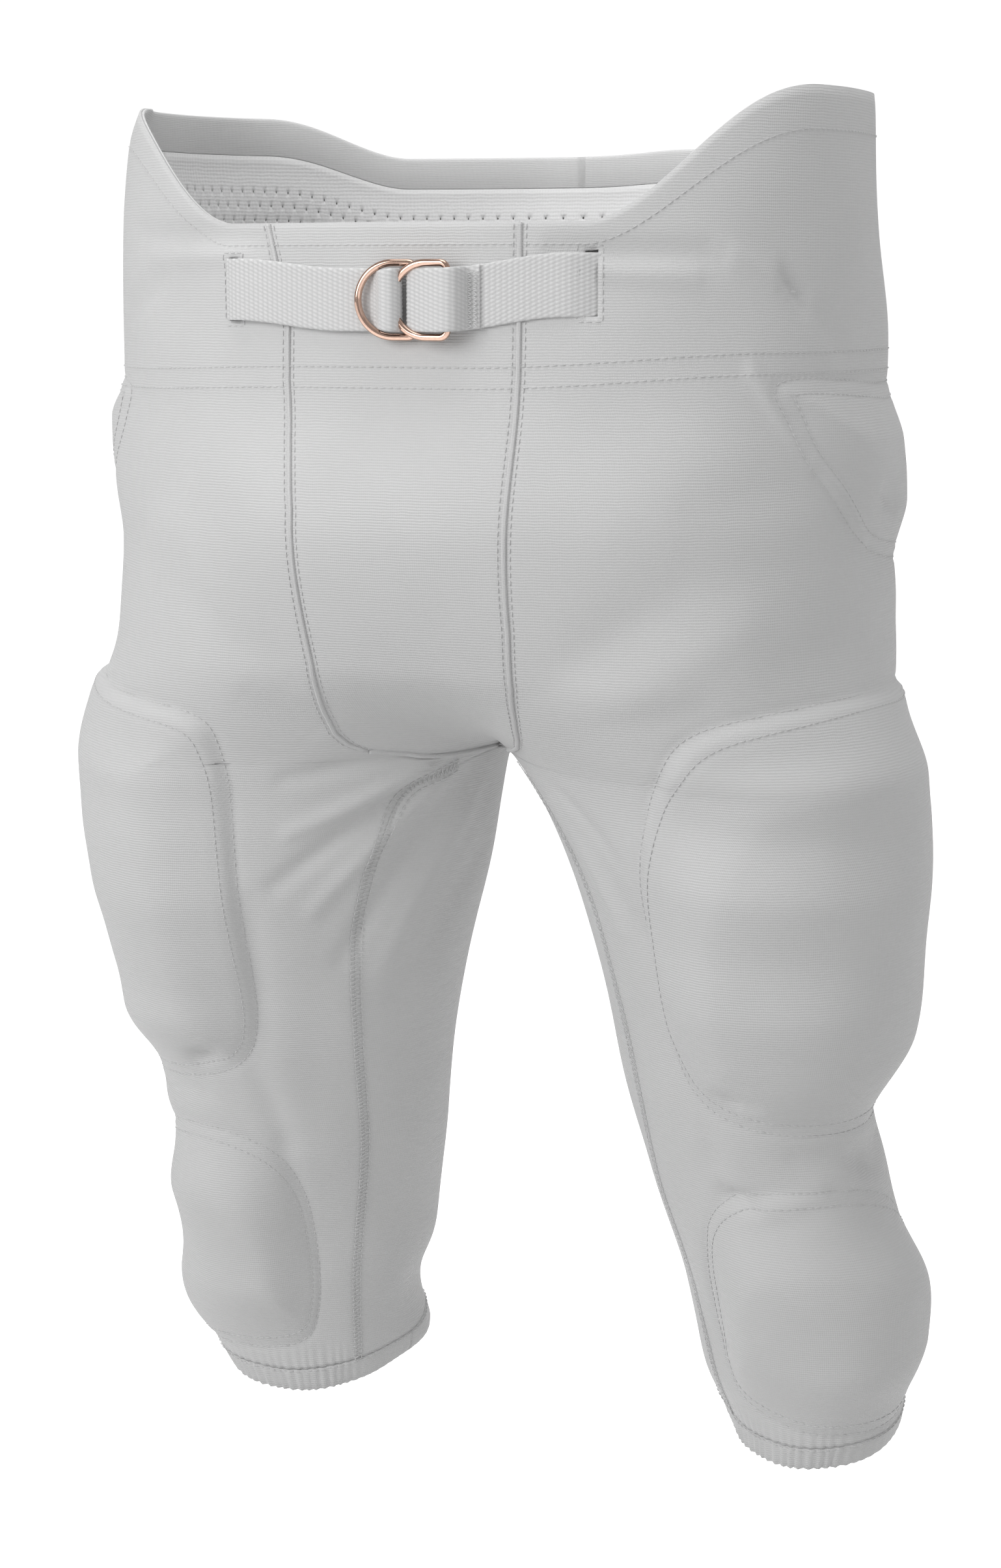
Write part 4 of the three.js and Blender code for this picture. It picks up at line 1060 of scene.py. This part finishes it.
# The elastic strip is sewn on inside the rim: depth behind the shell, and row.
strip_profile = [(-1.35, -1.0), (-1.4, -0.4), (-1.8, 0.0), (-2.5, 0.0), (-2.95, -0.4), (-3.0, -1.2),
                 (-2.98, -8.6), (-2.6, -9.0), (-1.5, -9.0), (-1.4, -8.4)]
depth, row = np.array(strip_profile, float).T
share = np.linspace(0, 2, 520, endpoint=False)
r, s = np.meshgrid(row, share, indexing="ij")
side, angle = waist_columns(r, s)
grid = knit_point(side, angle, row_height(side, r, angle), np.broadcast_to(depth[:, None], r.shape))
strip = closed_ring("waist_edge_elastic", grid, flip=True)
dress(strip, tape_finish, replaces="waist_edge_elastic")

# --- Pads and pockets -----------------------------------------------------------------------
# Seven foam pads, each in a pocket between the shell and a thin lining. A pad is laid out on
# its pocket's outline: a square of shares is squeezed towards rounded corners.
foam_finish = cloth("closed_cell_foam", grey(236, 0.01), grey(226, 0.02), 0.9, 0.9, 1.0, 1.4, 0.15, 0.15,
                    0.85, 0.0)
# First and last angle, top and end heights, and thickness.
PAD_SHAPES = {
    "thigh": (2, 94, -208, -388, 12.0), "knee": (10, 106, -433, -538, 10.0), "hip": (-48, 26, -72, -134, 7.0),
}
KNIT_CLEAR, FOAM_FILL = 0.4, 0.9
POCKET_DEPTHS, TAIL_THICK = (-1.8, -2.6), 9


def pad_grid(first, last, top, end, rows, columns, corner=4.0):
    """Angles and heights of a squarish outline; rows shrink at both ends as |v| to a power."""
    v = np.sin(np.linspace(-math.pi / 2, math.pi / 2, rows))[:, None]
    u = np.sin(np.linspace(-math.pi / 2, math.pi / 2, columns))[None, :]
    squeeze = (1 - np.abs(v) ** corner * 0.22)
    droop = (1 - np.abs(u) ** corner * 0.14)
    angle = (first + last) / 2 + (last - first) / 2 * u * squeeze
    z = (top + end) / 2 - (top - end) / 2 * v * droop
    edge = np.minimum(1 - np.abs(u) ** 6, 1 - np.abs(v) ** 6)
    return angle, np.broadcast_to(z, angle.shape), np.clip(edge, 0, 1)


def room_under_knit(side, angle, z):
    """Height over the bare body that is free under the shell."""
    return knit_lift(side, angle, z, skin_point(angle, z)[0]) - KNIT - KNIT_CLEAR


def off_body(side, angle, z, heights, least=-math.inf):
    """Grids of points at heights over the bare body, mirrored to their side."""
    x, y = skin_point(angle, z)
    normal = skin_normal(x, y, z)
    grids = []
    for height in heights:
        grid = np.stack([x, y, z], axis=-1) + normal * height[..., None]
        grid[..., 0] = np.maximum(grid[..., 0], least) * side
        grids.append(grid)
    return grids


for kind, (first, last, top, end, thick) in PAD_SHAPES.items():
    for side, word in ((LEFT, "left"), (RIGHT, "right")):
        angle, z, edge = pad_grid(first, last, top, end, 60, 60)
        full = room_under_knit(side, angle, z)
        low = -1.5 + np.minimum(full, 0)
        high = np.maximum(low + 1.0, np.minimum(full, low + 1.2 + thick * 1.1 * edge ** 0.5))
        outer, inner = off_body(side, angle, z, (high, low), least=0.3)
        pad = slab(f"{kind}_pad_{word}", outer, inner, flip=side == RIGHT)
        dress(pad, foam_finish, replaces=f"{kind}_pad_{word}")
        angle, z, _ = pad_grid(first - 4, last + 4, top + 5, end - 5, 50, 50)
        dip = np.minimum(room_under_knit(side, angle, z), 0)
        outer, inner = off_body(side, angle, z, [dip + depth for depth in POCKET_DEPTHS])
        pocket = slab(f"{kind}_pocket_lining_{word}", outer, inner, flip=side == RIGHT)
        dress(pocket, mesh_finish, replaces=f"{kind}_pocket_lining_{word}")

for name, grow in (("tail_pad", 0.0), ("tail_pocket_lining", 5.0)):
    u = np.linspace(-1, 1, 44)[None, :]
    v = np.linspace(0, 1, 50)[:, None]
    half = (TAIL_HALF + grow) * (1 - 0.5 * smooth((v - 0.55) / 0.45))
    x = u * half
    z = np.broadcast_to(TAIL_TOP + grow - (TAIL_TOP - TAIL_END + 2 * grow) * v, x.shape)
    side = np.where(x < 0, RIGHT, LEFT)
    angle = angle_at(x, z, front=False)
    if name == "tail_pad":
        rim = np.clip(np.minimum(1 - np.abs(u) ** 6, 1 - np.abs(2 * v - 1) ** 6), 0, 1)
        high = np.maximum(-0.3, np.minimum(room_under_knit(side, angle, z), -0.3 + TAIL_THICK * rim ** 0.5))
        heights = (high, np.full(x.shape, -1.5))
    else:
        heights = [np.full(x.shape, depth) for depth in POCKET_DEPTHS]
    outer, inner = off_body(side, angle, z, heights)
    tail = slab(name, outer, inner)
    if name == "tail_pad":
        dress(tail, foam_finish, replaces=name)
    else:
        dress(tail, mesh_finish, replaces=name)

# --- Belt -----------------------------------------------------------------------------------
# One length of heavy webbing: its tail is tucked into the right slot, lies over the strap,
# turns round the far ring's bow, runs back to the right slot, round the back in its tunnel,
# out of the left slot, and round both rings' bars to its sewn end.
BELT_Z, BELT_HIGH, WEBBING, CLEAR = -31.0, 25.4, 1.6, 0.3
LAYER = CLEAR + WEBBING / 2
SECOND = LAYER + WEBBING + CLEAR
WIRE, RING_REACH, RING_SIDE_PLAY = 1.5, 24.0, 0.6
ring_bars = {joint["name"]: np.array(joint["pos_m"]) / MM for joint in frame["joints"]}
STRAP_BAR_X, LOOP_BAR_X = 11.0, 26.0
STRAP_RING_OUT = LAYER + WEBBING / 2 + CLEAR + WIRE
LOOP_RING_OUT = STRAP_RING_OUT + 2 * WIRE + 3 * CLEAR


def waist_ray(degrees, out):
    """Points off the bare body at the belt's height, at angles about the waist's middle."""
    degrees, out = np.broadcast_arrays(np.asarray(degrees, float), np.asarray(out, float))
    dx, dy = np.cos(np.radians(degrees)), -np.sin(np.radians(degrees))
    z = np.full(degrees.shape, BELT_Z)
    reach = surface_along(0.0, 0.0, z, dx, dy, 300)
    x, y = dx * reach, dy * reach
    n = skin_normal(np.abs(x), y, z)
    return np.stack([x + np.sign(x) * n[..., 0] * out, y + n[..., 1] * out], axis=-1)


def at_front(x, out):
    """Points off the body at distances x across the front."""
    x, out = np.broadcast_arrays(np.asarray(x, float), np.asarray(out, float))
    degrees = np.full(x.shape, 90.0)
    for _ in range(16):
        degrees = degrees - np.degrees((x - waist_ray(degrees, 0.0)[..., 0]) / WAIST_DEEP)
    return waist_ray(degrees, out), degrees


def knit_rise(x):
    """How far the shell's relief stands off the bare body at the belt across the front."""
    side, path = across_front(np.asarray(x, float), np.full(np.shape(x), BELT_Z))
    return knit_lift(side, path[:, 0], path[:, 1], np.abs(x))


# The belt's two runs across the front, as distances across and depths over the bare body.
bow_x = LOOP_BAR_X - RING_REACH
over_strap_ring, over_loop_ring = STRAP_RING_OUT + WIRE + LAYER, LOOP_RING_OUT + WIRE + LAYER
over_bow = over_loop_ring + 1.3
fold_x = STRAP_BAR_X - WIRE - LAYER
TUNNEL_OUT = -3.6
tail_run = [(-79, 0.9), (-74, 2.6), (-68, SECOND), (-54, SECOND), (-40, SECOND), (-27, SECOND), (-16, SECOND),
            (-10.5, SECOND + 0.1), (-8, SECOND + 0.5), (-4, SECOND + 3), (-1, over_bow - 1),
            (bow_x, over_bow),
            (bow_x + 2.2, over_bow - 0.9), (bow_x + 3.1, over_bow - 3), (bow_x + 3.2, LAYER + 4),
            (bow_x + 2, LAYER + 2.0), (bow_x - 1, LAYER + 1.0), (bow_x - 6, LAYER + 0.4), (-9, LAYER),
            (-20, LAYER), (-32, LAYER), (-45, LAYER), (-56, LAYER), (-66, LAYER), (-72, 0.2), (-76, -1.2),
            (-80, -3.0)]
loop_run = [(86, -3.0), (81, -1.2), (77, 0.2), (72, LAYER), (62, LAYER), (50, LAYER), (38, LAYER),
            (26, LAYER), (fold_x + 3.4, LAYER), (fold_x + 0.9, LAYER + 0.6), (fold_x, LAYER + 2.0),
            (fold_x, over_strap_ring - 1.8), (fold_x + 0.8, over_strap_ring - 0.5),
            (fold_x + 2.6, over_strap_ring), (LOOP_BAR_X - 3, over_loop_ring),
            (LOOP_BAR_X + 3, over_loop_ring - 0.6), (LOOP_BAR_X + 7, SECOND), (38, SECOND - 0.5)]


def fine_line(points, spacing):
    """Smooth curve through plane points, at even spacing."""
    line = spline(np.concatenate([points[:1], points, points[-1:]]), 16)
    line = np.concatenate([line, points[-1:]])
    steps = np.linalg.norm(np.diff(line, axis=0), axis=1)
    return resampled(line, steps, lambda length: int(length / spacing))


def belt_points(run):
    """Plane points of a run of (x, depth) pairs, lifted by what the shell stands off there."""
    x, out = np.array(run, float).T
    lift = np.where(out > 0, np.clip(knit_rise(x), -0.5, 4.0) * smooth((np.abs(x) - 30) / 25), 0)
    return at_front(x, out + lift)[0]


SPACING = 0.6
front_tail, front_loop = (fine_line(belt_points(run), SPACING) for run in (tail_run, loop_run))
start_angle, end_angle = at_front(-84, 0)[1], 360 + at_front(90, 0)[1]
hidden = waist_ray(np.linspace(start_angle, end_angle, 150), TUNNEL_OUT)
belt_line = np.concatenate([front_tail, hidden, front_loop])

# The weave is beads: columns up the webbing's width, each column half a bead out of step.
COLUMN, BEAD, BEAD_HIGH, BEAD_SLANT = 2.4, 1.66, 0.42, 0.22
w = np.linspace(-BELT_HIGH / 2, BELT_HIGH / 2, 61)[:, None]
step = np.linalg.norm(np.diff(belt_line, axis=0), axis=1)
run = np.concatenate([[0], np.cumsum(step)])[None, :]
fine = np.ones(len(belt_line))
fine[len(front_tail):len(front_tail) + len(hidden)] = 0
column = np.floor(run / COLUMN)
within = (run - column * COLUMN) / COLUMN * 2 - 1


def beads(shift):
    """Height of the weave: round-topped beads, a half step apart in neighbouring columns."""
    phase = w / BEAD + 0.5 * column + BEAD_SLANT * within + shift
    return BEAD_HIGH * np.abs(np.sin(np.pi * phase)) * (1 - 0.8 * within ** 2)


t = np.gradient(belt_line, axis=0)
t /= np.linalg.norm(t, axis=1, keepdims=True) + 1e-9
normal = np.stack([-t[:, 1], t[:, 0]], axis=1)
edge = np.sqrt(np.clip(1 - (np.abs(w) / (BELT_HIGH / 2)) ** 24, 0.02, 1))
end_thin = 1 - 0.5 * smooth((run - run[0, -1] + 3.5) / 3)
core = (WEBBING / 2 - BEAD_HIGH * 0.75) * edge * end_thin
rise = np.where(belt_line[:, 0] < 0, 4.0, 6.0) * smooth((np.abs(belt_line[:, 0]) - 22) / 50)
squeeze = np.ones(len(belt_line))
near_bow = np.exp(-((belt_line[:, 0] + 3.0) / 5.0) ** 2)
squeeze[:len(front_tail) // 2] -= 0.07 * near_bow[:len(front_tail) // 2]
z = BELT_Z + w * squeeze[None, :] + rise[None, :]
sides = []
for way in (1, -1):
    high = way * (core + beads(0.0 if way > 0 else 0.5) * edge * fine[None, :])
    sides.append(np.stack([belt_line[None, :, 0] + normal[None, :, 0] * high,
                           belt_line[None, :, 1] + normal[None, :, 1] * high, z], axis=-1))
belt_uv = np.stack(np.broadcast_arrays(run, w), axis=-1).reshape(-1, 2)
webbing_finish = cloth("heavy_webbing", grey(240), grey(232), BELT_HIGH, 0.4, 0.6, 0.7, 0.05, 0.06, 0.5, 0.2)
belt = slab("belt_webbing", *sides, uv=belt_uv)
# Painted shade: the bead heights also mix the webbing's base colour towards a darker grey, so it is darker
# between the beads.
weave_height = np.tile((beads(0.0) / BEAD_HIGH).ravel(), 2).astype(np.float32)
belt.data.attributes.new("weave", "FLOAT", "POINT").data.foreach_set("value", weave_height)
woven = webbing_finish.node_tree
weave_read = add_node(woven, "Attribute")
weave_read.attribute_name = "weave"
weave_shade = add_node(woven, "Mix", "RGBA", A=grey(206))
woven.links.new(weave_read.outputs["Fac"], weave_shade.inputs["Factor"])
woven_shader = woven.nodes["Principled BSDF"]
woven.links.new(woven_shader.inputs["Base Color"].links[0].from_socket, weave_shade.inputs["B"])
woven.links.new(weave_shade.outputs["Result"], woven_shader.inputs["Base Color"])
dress(belt, webbing_finish, replaces="belt_webbing")

# Each slot is boxed round with stitching, and the loop's end is barred down.
for side, word in ((LEFT, "left"), (RIGHT, "right")):
    x0, z0 = SLOT[side]
    wide, high = SLOT_HALF_WIDE + 2.2, SLOT_HALF_HIGH + 2.4
    corners = np.array([(-wide, -high), (wide, -high), (wide, high), (-wide, high), (-wide, -high)])
    box = np.concatenate([np.linspace(a, b, 24, endpoint=False) for a, b in zip(corners[:-1], corners[1:])])
    here, path = across_front(x0 + box[:, 0], z0 + box[:, 1])
    sewn(f"slot_box_stitching_{word}", [on_knit(here, path, 0.2)])

BAR_ROWS, BAR_HALF = (34.0, 36.3), 11.2
lines = []
for x in BAR_ROWS:
    spot, _ = at_front(np.full(40, x), SECOND + WEBBING / 2 + 0.15)
    up = BELT_Z + np.linspace(-BAR_HALF, BAR_HALF, 40)
    facing_out, _ = at_front(np.full(40, x), SECOND + WEBBING / 2 + 1.15)
    lines.append((np.column_stack([spot, up]), np.column_stack([facing_out - spot, np.zeros(40)])))
points, quads = stitch_mesh(lines, length=2.0, gap=-1.1, thread=0.26, slant=1.2)
dress(add_mesh("loop_bartack", points, quads), thread_finish, replaces="loop_bartack")

# --- Rings ----------------------------------------------------------------------------------
# Two closed D-rings of round steel wire, polished and plated: a straight bar up the webbing,
# and a round bow towards the wearer's right. The strap's ring stands off by eight degrees.
plated = bpy.data.materials.new("plated_steel")
plated.use_nodes = True
plated_tree = plated.node_tree
plated_shader = plated_tree.nodes["Principled BSDF"]
plated_shader.inputs["Metallic"].default_value = 1.0
plated_place = add_node(plated_tree, "TexCoord")
wear = add_node(plated_tree, "TexNoise", Scale=900, Detail=4)
plated_tree.links.new(plated_place.outputs["Object"], wear.inputs["Vector"])
polish = add_node(plated_tree, "MapRange", To_Min=0.06, To_Max=0.13)
plated_tree.links.new(wear.outputs["Fac"], polish.inputs["Value"])
plated_tree.links.new(polish.outputs[0], plated_shader.inputs["Roughness"])
tint = add_node(plated_tree, "Mix", "RGBA", A=(0.66, 0.47, 0.38, 1), B=(0.50, 0.33, 0.26, 1))
plated_tree.links.new(wear.outputs["Fac"], tint.inputs["Factor"])
plated_tree.links.new(tint.outputs["Result"], plated_shader.inputs["Base Color"])

RING_HALF = BELT_HIGH / 2 + RING_SIDE_PLAY + WIRE
RING_CORNER = 3.0


def d_outline():
    """A D from its bar: straight, two quarter rounds, two arms, and half a circle for the bow."""
    def arc(u0, z0, radius, first, last, count):
        turn = np.radians(np.linspace(first, last, count))
        return np.stack([u0 + radius * np.cos(turn), z0 + radius * np.sin(turn)], axis=1)
    bow = -(RING_REACH - RING_HALF)
    flat = RING_HALF - RING_CORNER
    bar = np.stack([np.zeros(24), np.linspace(-flat, flat, 24)], axis=1)
    return np.concatenate([
        bar, arc(-RING_CORNER, flat, RING_CORNER, 0, 90, 10)[1:],
        arc(bow, 0, RING_HALF, 90, 270, 72), arc(-RING_CORNER, -flat, RING_CORNER, -90, 0, 10)[:-1]])

STRAP_RING_TILT = 8.0
for name, joint, tilt in (("d_ring_strap_side", "strap_side_ring_swing", STRAP_RING_TILT),
                          ("d_ring_loop_side", "loop_side_ring_swing", 0.0)):
    u, up = d_outline().T
    bar = ring_bars[joint]
    turn = math.radians(tilt)
    line = np.stack([bar[0] + u * math.cos(turn), bar[1] + u * math.sin(turn), bar[2] + up], axis=1)
    plane = np.broadcast_to([math.sin(turn), -math.cos(turn), 0.0], line.shape)
    ring = tube(name + "_wire", line, plane, WIRE, sides=20, closed=True)
    dress(ring, plated, body=name, replaces=name)
